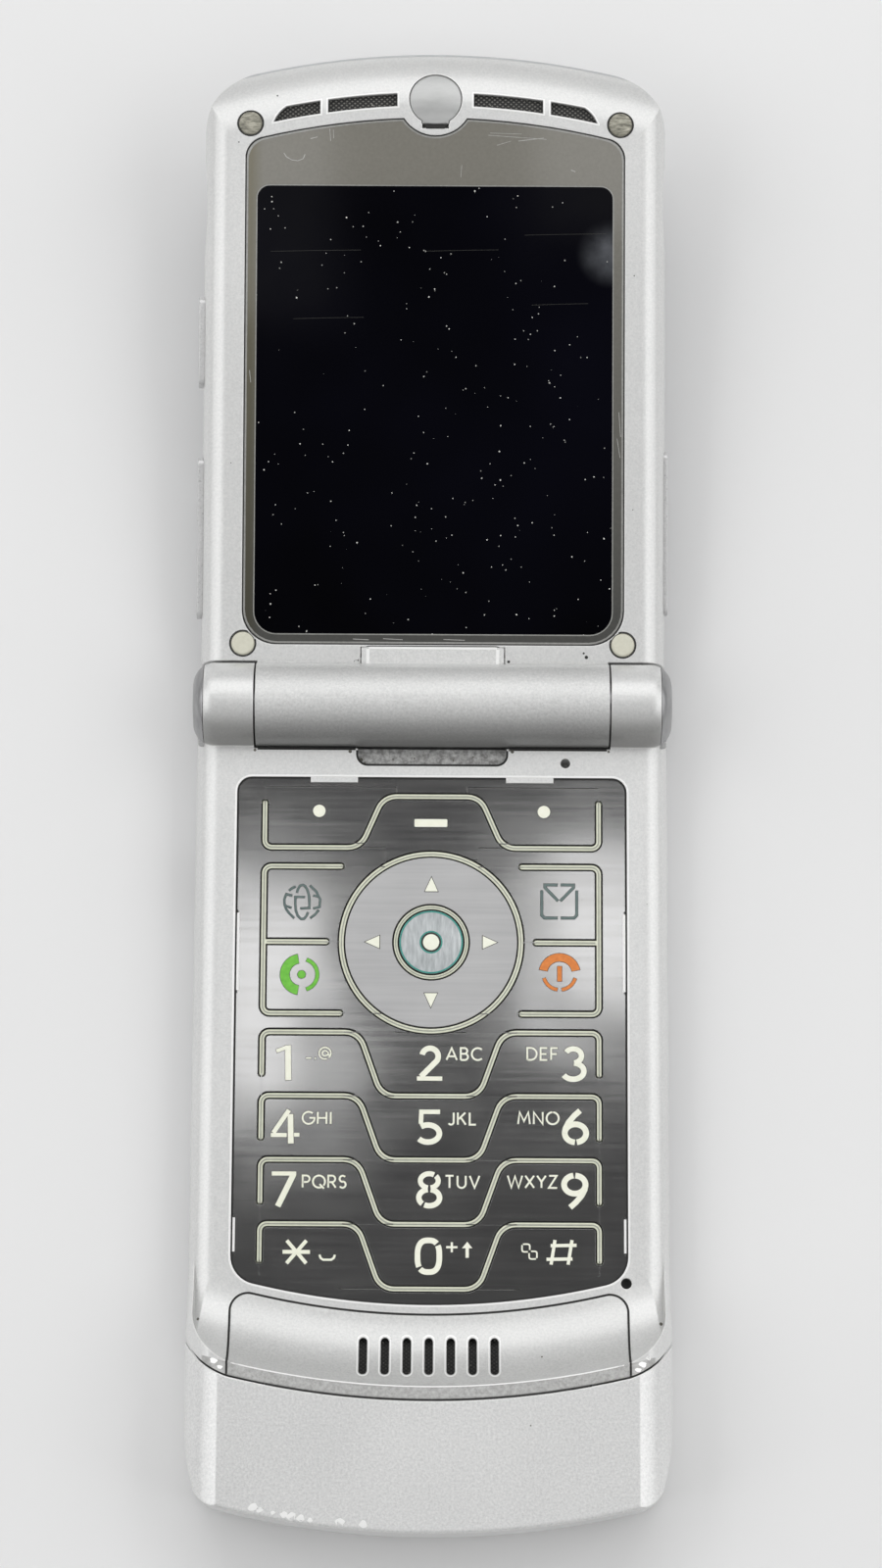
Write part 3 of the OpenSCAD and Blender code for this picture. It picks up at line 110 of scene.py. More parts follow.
class Shape:
    """Collects flat strokes and fills as thin solids, and turns them into one mesh piece."""

    def __init__(self, place):
        self.place = place
        self.bm = bmesh.new()
        self.slot = 0

    def _walls(self, low, high, closed=True):
        n = len(low)
        for i in range(n if closed else n - 1):
            j = (i + 1) % n
            self._face([low[i], low[j], high[j], high[i]])

    def _face(self, verts):
        face = self.bm.faces.new(verts)
        face.material_index = self.slot

    def _verts(self, pts, z):
        points = [(p[0], p[1], z + (p[2] if len(p) > 2 else 0)) for p in pts]
        return [self.bm.verts.new(self.place(p)) for p in points]

    def fill(self, pts, z0, z1):
        pts = clean(pts)
        low, high = self._verts(pts, z0), self._verts(pts, z1)
        self._face(high)
        self._face(low[::-1])
        self._walls(low, high)

    def band(self, left, right, z0, z1, closed=False):
        a, b = self._verts(left, z1), self._verts(right, z1)
        c, d = self._verts(left, z0), self._verts(right, z0)
        n = len(left)
        for i in range(n if closed else n - 1):
            j = (i + 1) % n
            self._face([a[i], b[i], b[j], a[j]])
            self._face([c[j], d[j], d[i], c[i]])
        self._walls(c, a, closed)
        self._walls(b, d, closed)
        if not closed:
            self._face([a[0], c[0], d[0], b[0]])
            self._face([a[-1], b[-1], d[-1], c[-1]])

    def line(self, path, width, z0, z1, closed=False):
        path = clean(path) if closed else path
        self.band(*sides(path, width, closed), z0, z1, closed)

    def draped(self, path, width, z0, z1, skin, closed=False):
        """Line laid over the solids; an edge over a hole takes the height just outside it."""
        outside, hole, hang = 0.35, 0.12, 0.8
        path = finer(clean(path) if closed else path, closed)
        rows = []
        for edge in sides(path, width, closed):
            rows.append([])
            for e, q in zip(edge, path):
                here, past = skin(e), skin(e + (e - Vector(q)) * outside)
                rows[-1].append((e.x, e.y, max(past if here < past - hole else here, skin(q) - hang)))
        self.band(*rows, z0, z1, closed)

    def ring(self, outer, inner, z0, z1):
        self.band(outer, inner, z0, z1, closed=True)

    def speck(self, x, y, r, skin, z1):
        """A small round spot on the solids."""
        self.fill([(*p, skin(p)) for p in arc(x, y, r, 0, 320, n=9)], -0.1, z1)

    def frame(self, outer, inner, z0, z1):
        """Flat frame between two closed outlines, filled by triangulation."""
        edges = []
        for pts in (clean(outer), clean(inner)):
            ring = self._verts(pts, z1)
            edges += [self.bm.edges.new(pair) for pair in zip(ring, ring[1:] + ring[:1])]
        bmesh.ops.triangle_fill(self.bm, use_beauty=True, edges=edges)
        geom = bmesh.ops.extrude_face_region(self.bm, geom=self.bm.faces[:])["geom"]
        verts = [v for v in geom if isinstance(v, bmesh.types.BMVert)]
        down = self.place((0, 0, z0)) - self.place((0, 0, z1))
        bmesh.ops.translate(self.bm, vec=down, verts=verts)

    def piece(self, name, body, looks, slot):
        """The finished mesh, riding a body, with its finishes; the slot is not used."""
        bmesh.ops.recalc_face_normals(self.bm, faces=self.bm.faces)
        mesh = bpy.data.meshes.new(name)
        self.bm.to_mesh(mesh)
        self.bm.free()
        for look in looks:
            mesh.materials.append(look.material)
        obj = put(name, mesh)
        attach(obj, body)


def rounded(x0, x1, y0, y1, low, high=None, n=8):
    """Rounded rectangle, with one radius low down and perhaps another high up."""
    high = low if high is None else high
    corners = ((x0 + low, y0 + low, low, 180), (x1 - low, y0 + low, low, 270),
               (x1 - high, y1 - high, high, 0), (x0 + high, y1 - high, high, 90))
    return [p for x, y, r, a in corners for p in arc(x, y, r, a, a + 90, n=n)]


def mirrored(path):
    return [(-x, y) for x, y in path]


def whole(half):
    """A path and its mirror image, which share the path's last point."""
    return half + mirrored(half[:-1])[::-1]


def fillets(pts, radii):
    """Path through points with round corners; a radius of 0 keeps the point."""
    out = []
    for i, (p, r) in enumerate(zip(pts, radii)):
        if not r:
            out.append(tuple(p))
            continue
        a, b, c = Vector(pts[i - 1]), Vector(p), Vector(pts[(i + 1) % len(pts)])
        u, v = (a - b).normalized(), (c - b).normalized()
        half = u.angle(v) / 2
        centre = b + (u + v).normalized() * r / math.sin(half)
        start, end = b + u * r / math.tan(half), b + v * r / math.tan(half)
        a0 = math.atan2(*(start - centre).yx)
        turn = (math.atan2(*(end - centre).yx) - a0 + math.pi) % math.tau - math.pi
        angles = [a0 + turn * k / 7 for k in range(8)]
        out += [(centre.x + r * math.cos(a), centre.y + r * math.sin(a)) for a in angles]
    return out


def surface(place, names, top=24.0):
    """Height of some solids at a plan point, found by looking straight down in that frame."""
    verts, faces = [], []
    for name in names:
        mesh = frame["nodes"][name].data
        faces += [[len(verts) + i for i in p.vertices] for p in mesh.polygons]
        verts += [v.co.copy() for v in mesh.vertices]
    tree = BVHTree.FromPolygons(verts, faces)

    def skin(p):
        start = place((p[0], p[1], top))
        hit = tree.ray_cast(start, (place((p[0], p[1], 0)) - start).normalized())
        return top - hit[3] / MM if hit[0] else 0.0
    return skin


base_skin = surface(base, ["front_housing", "chin_cover", "grille_plate"])
lid_skin = surface(lid, ["lid_inner_housing"])

# ---------- node trees

class Value:
    """A number or colour that a node gives; arithmetic on it adds math nodes."""

    def __init__(self, nodes, socket):
        self.nodes = nodes
        self.socket = socket

    def other(self, output):
        """Another output of the same node."""
        return Value(self.nodes, self.socket.node.outputs[output])

    def maths(self, kind, a, b=0.0):
        return self.nodes.add("ShaderNodeMath", 0, {0: a, 1: b}, operation=kind)

    def __add__(self, more):
        return self.maths("ADD", self, more)

    def __sub__(self, less):
        return self.maths("SUBTRACT", self, less)

    def __rsub__(self, start):
        return self.maths("SUBTRACT", start, self)

    def __mul__(self, times):
        return self.maths("MULTIPLY", self, times)

    def __lt__(self, limit):
        return self.maths("LESS_THAN", self, limit)

    def __gt__(self, limit):
        return self.maths("GREATER_THAN", self, limit)

    def __abs__(self):
        return self.maths("ABSOLUTE", self)

    def root(self):
        return self.maths("SQRT", self)

    def most(self, rival):
        return self.maths("MAXIMUM", self, rival)

    def span(self, low, high, first=0.0, last=1.0, kind="LINEAR"):
        """The range from low to high, carried onto first to last and held there beyond it."""
        sockets = {"Value": self, "From Min": low, "From Max": high, "To Min": first, "To Max": last}
        return self.nodes.add("ShaderNodeMapRange", 0, sockets, interpolation_type=kind)

    def rise(self, low, high):
        """0 at one value, rising smoothly to 1 at another."""
        return self.span(low, high, kind="SMOOTHSTEP")

    def ramp(self, *stops):
        """Colours or greys blended between stops, each a place and a colour."""
        output = self.nodes.add("ShaderNodeValToRGB", "Color", {"Fac": self})
        elements = output.socket.node.color_ramp.elements
        while len(elements) < len(stops):
            elements.new(0.5)
        for element, (where, colour) in zip(elements, stops):
            element.position = where
            element.color = (*colour, 1) if isinstance(colour, tuple) else (colour,) * 3 + (1,)
        return output

    def tint(self, low, high):
        """The two colours of a finish, over the middle of a noise's range."""
        return self.ramp((0.3, low), (0.7, high))


class Nodes:
    """A node tree, with short calls for the nodes used here."""

    def __init__(self, tree):
        self.tree = tree

    def feed(self, socket, value):
        if isinstance(value, Value):
            self.tree.links.new(value.socket, socket)
        else:
            socket.default_value = value

    def add(self, kind, output, sockets, **properties):
        """An output of a new node whose inputs are set by socket name or number."""
        node = self.tree.nodes.new(kind)
        for key, value in properties.items():
            setattr(node, key, value)
        for key, value in sockets.items():
            self.feed(node.inputs[key], value)
        return Value(self, node.outputs[output])

    def point(self):
        return self.add("ShaderNodeTexCoord", "Object", {})

    def split(self, vector):
        x = self.add("ShaderNodeSeparateXYZ", 0, {"Vector": vector})
        return x, x.other(1), x.other(2)

    def coords(self, scale=(1, 1, 1), turn=(0, 0, 0)):
        return self.add("ShaderNodeMapping", 0, {"Vector": self.point(), "Scale": scale, "Rotation": turn})

    def mix(self, amount, a, b):
        """Colour a where the amount is 0, and b where it is 1."""
        a, b = (colour if isinstance(colour, Value) else (*colour, 1) for colour in (a, b))
        return self.add("ShaderNodeMix", 2, {0: amount, 6: a, 7: b}, data_type="RGBA")

    def near(self, spot, radius):
        """1 at a point of the object, falling to 0 at a radius."""
        sockets = {0: self.point(), 1: spot}
        away = self.add("ShaderNodeVectorMath", "Value", sockets, operation="DISTANCE")
        return away.span(0.0, radius, 1.0, 0.0, "SMOOTHSTEP")

    def bevel(self, radius):
        return self.add("ShaderNodeBevel", 0, {"Radius": radius}, samples=6)


class Look(Nodes):
    """A material, with its principled shader."""

    def __init__(self, name):
        self.material = bpy.data.materials.new(name)
        self.material.use_nodes = True
        super().__init__(self.material.node_tree)
        self.shader = self.tree.nodes["Principled BSDF"]
        self.at = self.coords()

    def noise(self, scale, detail=3.0, rough=0.55, at=None):
        sockets = {"Vector": at or self.at, "Scale": scale, "Detail": detail, "Roughness": rough}
        return self.add("ShaderNodeTexNoise", "Fac", sockets)

    def set(self, sockets):
        for key, value in sockets.items():
            self.feed(self.shader.inputs[key], value)

    def bump(self, height, distance, edge=0.0):
        """Fine relief, and sharp edges rounded by an edge radius."""
        sockets = {"Height": height, "Distance": distance}
        if edge:
            sockets["Normal"] = self.bevel(edge)
        self.set({"Normal": self.add("ShaderNodeBump", 0, sockets)})

    def rubbed(self):
        """Where edges turn away from the flat, broken up by noise: 0 to 1."""
        sockets = {0: self.bevel(0.0004), 1: self.add("ShaderNodeNewGeometry", "Normal", {})}
        level = self.add("ShaderNodeVectorMath", "Value", sockets, operation="DOT_PRODUCT")
        rough = self.noise(1500, 4.0, 0.7)
        return ((1.0 - level) * (rough * 6.0)).ramp((0.25, 0.0), (0.4, 1.0))

    def soil(self, places, colour):
        """Painted shade: darkens some places; each is a function of x, distance from the hinge and height."""
        x, y, z = self.split(self.point())
        d = HINGE.y - y
        for place in places:
            unshaded_colour = Value(self, self.shader.inputs["Base Color"].links[0].from_socket)
            self.set({"Base Color": self.mix(place(self, x, d, z), unshaded_colour, colour)})


# ---------- finishes
# Distances in the finishes are in metres, as the object coordinates are.

def paint(name, low, high, metallic=0.28, rough=0.36, grain=0.00001, edge=0.0002, wear=0.0, chip=0.0):
    """Silver flake paint: fine flakes, slow tone drift, orange peel, specks and rubbed edges."""
    look = Look(name)
    flake = look.noise(3600, 3.0, 0.75)
    colour = (flake * 0.75 + look.noise(45) * 0.25).tint(low, high)
    if wear:
        spots = look.noise(900, 4.0, 0.7).ramp((0.72, 0.0), (0.75, 1.0))
        colour = look.mix(spots * wear, colour, (0.10, 0.098, 0.09))
    if chip:
        colour = look.mix(look.rubbed() * chip, colour, (0.90, 0.90, 0.88))
    look.set({"Base Color": colour, "Roughness": flake.span(0.3, 0.7, rough - 0.06, rough + 0.08),
              "Metallic": metallic, "Coat Weight": 0.4, "Coat Roughness": 0.12})
    look.bump(flake + look.noise(1700, 2.0) * 0.8, grain, edge)
    return look


def brushed(name, low, high, rough, along=(40, 2600, 2600), metallic=1.0, edge=0.00008, wave=0.0,
            depth=0.000003, spread=1.0):
    """Brushed metal: long fine lines in the finish, with slow clouding."""
    look = Look(name)
    lines = look.noise(1.0, 4.0, 0.6, look.coords(along))
    tone = lines * 0.6 + look.noise(130) * 0.4
    gloss = tone.span(0.3, 0.7, rough - 0.05 * spread, rough + 0.07 * spread)
    look.set({"Base Color": tone.tint(low, high), "Roughness": gloss, "Metallic": metallic})
    look.bump(lines + look.noise(60, 1.0) * wave, depth, edge)
    return look


def plastic(name, low, high, rough=0.5, scale=2500, grain=0.000008, edge=0.0001, gloss=0.0):
    """Moulded plastic or rubber with a fine spark-eroded grain."""
    look = Look(name)
    fine = look.noise(scale)
    tone = fine * 0.5 + look.noise(scale / 40, 2.0) * 0.5
    look.set({"Base Color": tone.tint(low, high), "Roughness": rough,
              "Coat Weight": gloss, "Coat Roughness": 0.08})
    look.bump(fine, grain, edge)
    return look


def lid_plan(look):
    """x, and distance along the lid from the hinge."""
    x, y, z = look.split(look.point())
    return x, (y - HINGE.y) * math.cos(TILT) + (z - HINGE.z) * math.sin(TILT)


def screen_glass(name):
    """Black display under clear plastic, with dust specks, a faint tint and a pale smear near the right edge,
    part dust and part painted glint.
    """
    look = Look(name)
    crowd = look.near(lid((2, 18, 0)), 0.034)
    layers = []
    for scale, size, sparse in ((620.0, 0.056, 0.51), (1150.0, 0.078, 0.515), (330.0, 0.031, 0.53)):
        cell = look.add("ShaderNodeTexVoronoi", "Distance", {"Vector": look.at, "Scale": scale})
        cloud = look.noise(190, 3.0, 0.7) + crowd * 0.055
        shine = look.add("ShaderNodeSeparateColor", 0, {"Color": cell.other("Color")})
        layers.append((cell < size) * (cloud > sparse) * (shine * 0.75 + 0.25))
    specks = layers[0].most(layers[1]).most(layers[2])
    glow = look.noise(22).ramp((0.4, (0.0012, 0.0012, 0.0016)), (0.75, (0.003, 0.003, 0.006)))
    # Pale smear near the right edge: dust, with a painted glint.
    dust_and_glint_smear = look.near(lid((20, 51.5, 0)), 0.0042) * look.noise(420)
    tint_and_smear = look.mix(dust_and_glint_smear * 0.42, glow, (0.40, 0.42, 0.46))
    look.set({"Base Color": look.mix(specks, tint_and_smear, (0.80, 0.80, 0.76)),
              "Roughness": look.noise(90).ramp((0.3, 0.05), (0.8, 0.11)),
              "Specular IOR Level": 0.02})
    look.bump(look.noise(40, 1.0), 0.000002)
    return look


def lens_border(name):
    """Warm grey print behind the lens, with painted shade that makes it darker toward the hinge, and olive
    along the left.
    """
    look = Look(name)
    x, v = lid_plan(look)
    rise = v.span(0.010, 0.062)
    left = x.span(-0.0195, -0.0208, 0.0, 0.75)
    fine = look.noise(2600, 2.0)
    dark = look.mix(fine, (0.050, 0.051, 0.048), (0.075, 0.074, 0.068))
    pale = look.mix(fine, (0.160, 0.153, 0.130), (0.205, 0.197, 0.172))
    olive = look.mix(rise, (0.050, 0.046, 0.028), (0.125, 0.112, 0.066))
    look.set({"Base Color": look.mix(left, look.mix(rise, dark, pale), olive), "Roughness": 0.3,
              "Specular IOR Level": 0.3, "Coat Weight": 0.4, "Coat Roughness": 0.06})
    look.bump(fine, 0.000001, 0.0001)
    return look


def bumper(name):
    """Pale rubber; the pair at the tip is dirty and scratched."""
    look = Look(name)
    fine = look.noise(2600)
    marks = look.noise(1.0, 3.0, 0.7, look.coords((900, 3800, 3800), (0, 0, 0.7)))
    at_tip = lid_plan(look)[1] > 0.04
    cream = look.mix(fine, (0.55, 0.54, 0.44), (0.68, 0.67, 0.57))
    dirty = marks.ramp((0.34, (0.13, 0.125, 0.10)), (0.5, (0.30, 0.29, 0.235)), (0.7, (0.52, 0.50, 0.42)))
    look.set({"Base Color": look.mix(at_tip, cream, dirty), "Roughness": 0.55})
    look.bump(marks, 0.00002, 0.00012)
    return look


def woven(name, dark, light, pitch=0.00034):
    """Fine diamond mesh cloth, shaded from the weave."""
    look = Look(name)
    waves = []
    for turn in (0.9, -0.9):
        sockets = {"Vector": look.coords(turn=(0, 0, turn)), "Scale": 0.314 / pitch,
                   "Distortion": 0.6, "Detail": 1.0}
        waves.append(look.add("ShaderNodeTexWave", "Fac", sockets, bands_direction="X"))
    both = waves[0] * waves[1]
    dust = look.noise(2400, 3.0, 0.7).ramp((0.66, 0.0), (0.74, 1.0))
    cloth = both.ramp((0.15, dark), (0.8, light))
    look.set({"Base Color": look.mix(dust, cloth, (0.42, 0.41, 0.37)), "Roughness": 0.6})
    look.bump(both, 0.00006)
    return look


def under_hinge(look, x, d, z):
    """Painted shade low on the barrel and the knuckles, darker toward the base."""
    return d.rise(0.0002, 0.0046) * 0.70 * (d < 0.0049)


# Painted shade on the knuckles, where they stand above the deck.
def on_knuckles(look, x, d, z):
    return under_hinge(look, x, d, z) * z.rise(0.0076, 0.0079)


def on_rim(look, x, d, z):
    """Painted shade on the flat band outside the ramp's crest, broken up by speckle."""
    out = d + ARCH * MM
    radius = (x * x + out * out).root()
    speckle = look.noise(2200, 3.0, 0.7).ramp((0.35, 0.48), (0.65, 0.70))
    return radius.rise(0.09347, 0.09362) * z.rise(0.0128, 0.0131) * speckle


def in_pocket(look, x, d, z):
    """Painted shade on the floor of the tab's pocket, broken up by speckle."""
    speckle = look.noise(1500, 4.0, 0.75).ramp((0.35, 0.30), (0.62, 0.85))
    return (abs(x) < 0.0084) * ((d < 0.0068) * (d > 0.0046)) * ((z < 0.00757) * speckle)


silver = paint("silver_paint", (0.60, 0.605, 0.60), (0.76, 0.76, 0.75), wear=0.3, chip=0.5)
silver_worn_shaded = paint("silver_paint_worn", (0.62, 0.625, 0.62), (0.78, 0.78, 0.77), wear=0.6, chip=0.7)
grille_silver = paint("grille_paint", (0.56, 0.565, 0.56), (0.76, 0.76, 0.75), 0.45, 0.46, wear=0.2,
                      edge=0.0003)
barrel_silver = paint("barrel_paint", (0.56, 0.565, 0.56), (0.78, 0.78, 0.77), 0.25, 0.44, 0.00004, wear=0.2)
chin_silver = paint("chin_paint", (0.60, 0.603, 0.60), (0.87, 0.87, 0.862), wear=0.3, chip=0.8, edge=0.0003)
back_silver = paint("back_paint", (0.50, 0.505, 0.51), (0.66, 0.665, 0.67))
side_silver = paint("side_key_paint", 0.52, 0.70, rough=0.32)
# Painted shade: the barrel and knuckles darker low toward the base, the rim band and the pocket floor darker.
barrel_silver.soil([under_hinge], (0.10, 0.10, 0.097))
silver_worn_shaded.soil([on_knuckles, on_rim, in_pocket], (0.12, 0.118, 0.11))
grille_silver.soil([on_rim], (0.12, 0.118, 0.11))

blasted = brushed("blasted_aluminium", (0.52, 0.53, 0.54), (0.66, 0.67, 0.68), 0.42, (900, 900, 900), 0.7,
                  depth=0.000006)
cover_metal = brushed("brushed_cover", (0.54, 0.55, 0.56), (0.68, 0.69, 0.70), 0.36, (30, 2200, 2200), 0.8)
cap_metal = brushed("turned_cap", (0.26, 0.26, 0.265), (0.44, 0.44, 0.445), 0.30, (2200, 500, 500))
key_metal, web_metal = (brushed(name, (0.250, 0.250, 0.252), (0.325, 0.325, 0.320), 0.10, (70, 2200, 2200),
                                edge=edge, wave=500.0, depth=0.00000013, spread=0.4)
                        for name, edge in (("etched_key_metal", 0.00006), ("sheet_web_metal", 0)))
ring_metal = brushed("ring_metal", (0.42, 0.42, 0.425), 0.52, 0.5, (60, 2600, 2600), 0.5)
select_metal = brushed("select_metal", (0.34, 0.37, 0.38), (0.74, 0.77, 0.78), 0.38, (3600, 600, 3600), 0.7,
                       depth=0.000006)
# Near-white for painted highlights along edges and rims, and for paint chips.
bright_lip = brushed("bright_lip", (0.88, 0.88, 0.87), (0.96, 0.96, 0.95), 0.35, metallic=0.15)
badge_metal = brushed("badge_metal", (0.40, 0.405, 0.40), (0.54, 0.545, 0.54), 0.38, (300, 900, 900), 0.5,
                      0.0003)
steel = brushed("ground_steel", (0.42, 0.42, 0.43), (0.60, 0.60, 0.61), 0.28, (2000, 300, 300))
tinned = brushed("tinned_sheet", (0.50, 0.50, 0.51), (0.66, 0.66, 0.67), 0.35, (700, 700, 700))
dome_metal = brushed("dome_metal", (0.50, 0.51, 0.53), (0.64, 0.65, 0.67), 0.26, (500, 500, 500))
dark_screw = brushed("dark_screw", (0.16, 0.16, 0.165), (0.30, 0.30, 0.31), 0.34, (1500, 1500, 1500))

lit_rubber = plastic("lit_rubber", (0.62, 0.64, 0.50), (0.76, 0.78, 0.64), 0.5, 1800)
glyph_fill = plastic("glyph_fill", (0.84, 0.85, 0.70), (0.93, 0.935, 0.82), 0.45, 1500)
glyph_edge = plastic("glyph_edge", (0.020, 0.022, 0.018), (0.05, 0.05, 0.045), 0.6, 3000, edge=0)
groove_core = plastic("groove_core", (0.30, 0.31, 0.26), (0.40, 0.41, 0.35), 0.5, 1800)
icon_teal = plastic("icon_teal", (0.075, 0.12, 0.12), (0.15, 0.20, 0.19), 0.4, 2400)
icon_green = plastic("icon_green", (0.10, 0.42, 0.03), (0.22, 0.62, 0.08), 0.4, 2400)
icon_orange = plastic("icon_orange", (0.55, 0.14, 0.025), (0.80, 0.27, 0.06), 0.4, 2400)
teal_film = plastic("teal_film", (0.03, 0.20, 0.17), (0.08, 0.42, 0.36), 0.3, 2000)
# Near-black for painted shadow in gaps, seams and grooves, and for the specks of dirt on the lid.
seam_black = plastic("seam_black", 0.006, (0.022, 0.021, 0.020), 0.7, 3000, edge=0)
dirt = plastic("dirt", (0.055, 0.050, 0.042), (0.20, 0.19, 0.165), 0.8, 5000, edge=0)
pale_line = plastic("lens_edge", (0.20, 0.20, 0.19), (0.34, 0.34, 0.32), 0.3, 2600, gloss=0.5)
scratch_pale = plastic("scratch", (0.26, 0.26, 0.25), (0.50, 0.50, 0.48), 0.4, 2600, edge=0)
scratch_dark = plastic("screen_scratch", (0.012, 0.012, 0.010), (0.035, 0.035, 0.030))
outer_glass = plastic("outer_glass", (0.010, 0.010, 0.011), (0.026, 0.026, 0.028), 0.12, 900, 0.000001,
                      gloss=1.0)
board = plastic("board_laminate", (0.010, 0.09, 0.035), (0.03, 0.19, 0.08), 0.35, 900, 0.00002, gloss=0.3)
capsule = plastic("capsule_black", 0.02, 0.06)
carrier = plastic("antenna_carrier", (0.52, 0.40, 0.17), (0.70, 0.55, 0.26))
cell_case = plastic("cell_case", (0.030, 0.033, 0.040), (0.075, 0.08, 0.095))
pivot = plastic("pivot_plastic", (0.50, 0.52, 0.44), (0.62, 0.64, 0.56))
camera_black = plastic("camera_black", (0.008, 0.008, 0.010), (0.03, 0.03, 0.034), 0.15, 1200, gloss=0.8)

mesh_cloth = woven("mesh_cloth", 0.006, (0.17, 0.165, 0.15), 0.00038)
grille_cloth = woven("grille_cloth", 0.003, (0.045, 0.044, 0.040))
glass = screen_glass("screen_glass")
border = lens_border("lens_border")
bumper_rubber = bumper("bumper_rubber")

FINISH = {
    silver_worn_shaded: "front_housing", grille_silver: "grille_plate", back_silver: "rear_housing cover_latch",
    chin_silver: "chin_cover", silver: "lid_inner_housing", barrel_silver: "hinge_barrel",
    side_silver: "smart_key volume_rocker voice_key", cover_metal: "battery_cover",
    cap_metal: "knuckle_caps", blasted: "lid_outer_housing", badge_metal: "badge_disc",
    ring_metal: "nav_ring", select_metal: "select_key",
    steel: "hinge_pin hinge_bush hinge_cartridge", tinned: "board_shield usb_socket sim_holder",
    dome_metal: "dome_sheet", dark_screw: "case_screws", grille_cloth: "grille_mesh",
    mesh_cloth: "earpiece_mesh", lit_rubber: "keypad_mat", bumper_rubber: "lid_bumpers", pivot: "nav_pivot",
    board: "main_board", capsule: "microphone loudspeaker earpiece", carrier: "antenna", cell_case: "battery",
    glass: "display_lens", outer_glass: "outer_lens", camera_black: "display_module camera_module",
}
FINISH_OF = {name: look for look, names in FINISH.items() for name in names.split()}

# A node that isn't listed, the keypad sheet or a key cut from it, is etched metal.
for name, node in frame["nodes"].items():
    node.data.materials.clear()
    node.data.materials.append(FINISH_OF.get(name, key_metal).material)

# ---------- lettering

LETTERS = {
    "A": (0.86, [[(0, 0), (0.43, 1), (0.86, 0)], [(0.15, 0.3), (0.71, 0.3)]]),
    "B": (0.60, [[(0, 0), (0, 1), (0.3, 1)] + arc(0.3, 0.76, 0.24, 90, -90) + [(0, 0.52)],
                 [(0, 0.52)] + arc(0.34, 0.26, 0.26, 90, -90) + [(0, 0)]]),
    "C": (0.86, [arc(0.5, 0.5, 0.5, 48, 312)]),
    "D": (0.78, [[(0, 0), (0, 1)] + arc(0.28, 0.5, 0.5, 90, -90) + [(0, 0)]]),
    "E": (0.56, [[(0.56, 1), (0, 1), (0, 0), (0.56, 0)], [(0, 0.5), (0.5, 0.5)]]),
    "F": (0.54, [[(0.54, 1), (0, 1), (0, 0)], [(0, 0.5), (0.48, 0.5)]]),
    "G": (0.94, [arc(0.5, 0.5, 0.5, 48, 360) + [(0.56, 0.5)]]),
    "H": (0.72, [[(0, 0), (0, 1)], [(0.72, 0), (0.72, 1)], [(0, 0.5), (0.72, 0.5)]]),
    "I": (0.06, [[(0.03, 0), (0.03, 1)]]),
    "J": (0.44, [[(0.42, 1)] + arc(0.2, 0.22, 0.22, 0, -150)]),
    "K": (0.66, [[(0, 0), (0, 1)], [(0.62, 1), (0.08, 0.46)], [(0.24, 0.6), (0.66, 0)]]),
    "L": (0.52, [[(0, 1), (0, 0), (0.52, 0)]]),
    "M": (0.98, [[(0, 0), (0.13, 1), (0.49, 0.22), (0.85, 1), (0.98, 0)]]),
    "N": (0.74, [[(0, 0), (0, 1), (0.74, 0), (0.74, 1)]]),
    "O": (1.00, [arc(0.5, 0.5, 0.5, 94, 446)]),
    "P": (0.58, [[(0, 0), (0, 1)] + arc(0.3, 0.73, 0.27, 90, -90) + [(0, 0.46)]]),
    "Q": (1.00, [arc(0.5, 0.5, 0.5, -40, 300), [(0.55, 0.3), (0.92, -0.08)]]),
    "R": (0.62, [[(0, 0), (0, 1)] + arc(0.3, 0.73, 0.27, 90, -90) + [(0, 0.46)], [(0.3, 0.46), (0.62, 0)]]),
    "S": (0.58, [arc(0.3, 0.74, 0.25, 38, 262) + arc(0.29, 0.26, 0.26, 84, -146)]),
    "T": (0.66, [[(0, 1), (0.66, 1)], [(0.33, 1), (0.33, 0)]]),
    "U": (0.70, [[(0.01, 1)] + arc(0.35, 0.34, 0.34, 180, 360) + [(0.69, 1)]]),
    "V": (0.80, [[(0, 1), (0.4, 0), (0.8, 1)]]),
    "W": (1.20, [[(0, 1), (0.3, 0), (0.6, 0.95), (0.9, 0), (1.2, 1)]]),
    "X": (0.72, [[(0, 0), (0.72, 1)], [(0, 1), (0.72, 0)]]),
    "Y": (0.72, [[(0, 1), (0.36, 0.5), (0.72, 1)], [(0.36, 0.5), (0.36, 0)]]),
    "Z": (0.68, [[(0.02, 1), (0.64, 1), (0, 0), (0.68, 0)]]),
    "-": (0.46, [[(0, 0.08), (0.46, 0.08)]]),
    ".": (0.10, [[(0.05, -0.02), (0.05, 0.14)]]),
    "@": (1.00, [arc(0.5, 0.5, 0.5, -50, 290), arc(0.5, 0.5, 0.22, 20, 340),
                 [(0.76, 0.62), (0.78, 0.36), (0.94, 0.34)]]),
}


def oval(cx, cy, rx, ry, gaps, power=2.0):
    """Closed loop cut at some angles: each gap is (angle, half width) in degrees."""
    cuts = sorted(gaps)
    cuts.append((cuts[0][0] + 360, cuts[0][1]))
    paths = []
    for (a, w), (b, v) in zip(cuts, cuts[1:]):
        turns = [math.radians(a + w + (b - v - a - w) * k / 26) for k in range(27)]
        paths.append([(cx + rx * math.copysign(abs(math.cos(t)) ** (2 / power), math.cos(t)),
                       cy + ry * math.copysign(abs(math.sin(t)) ** (2 / power), math.sin(t))) for t in turns])
    return paths


SIX = [(p, 0.64) for p in oval(0.04, -0.66, 1.18, 1.0, [(-88, 5)])] + [
    ([(-1.14, -0.62), (-1.05, -0.1), (-0.72, 0.55), (-0.1, 1.28), (0.55, 1.86)], 0.62)]

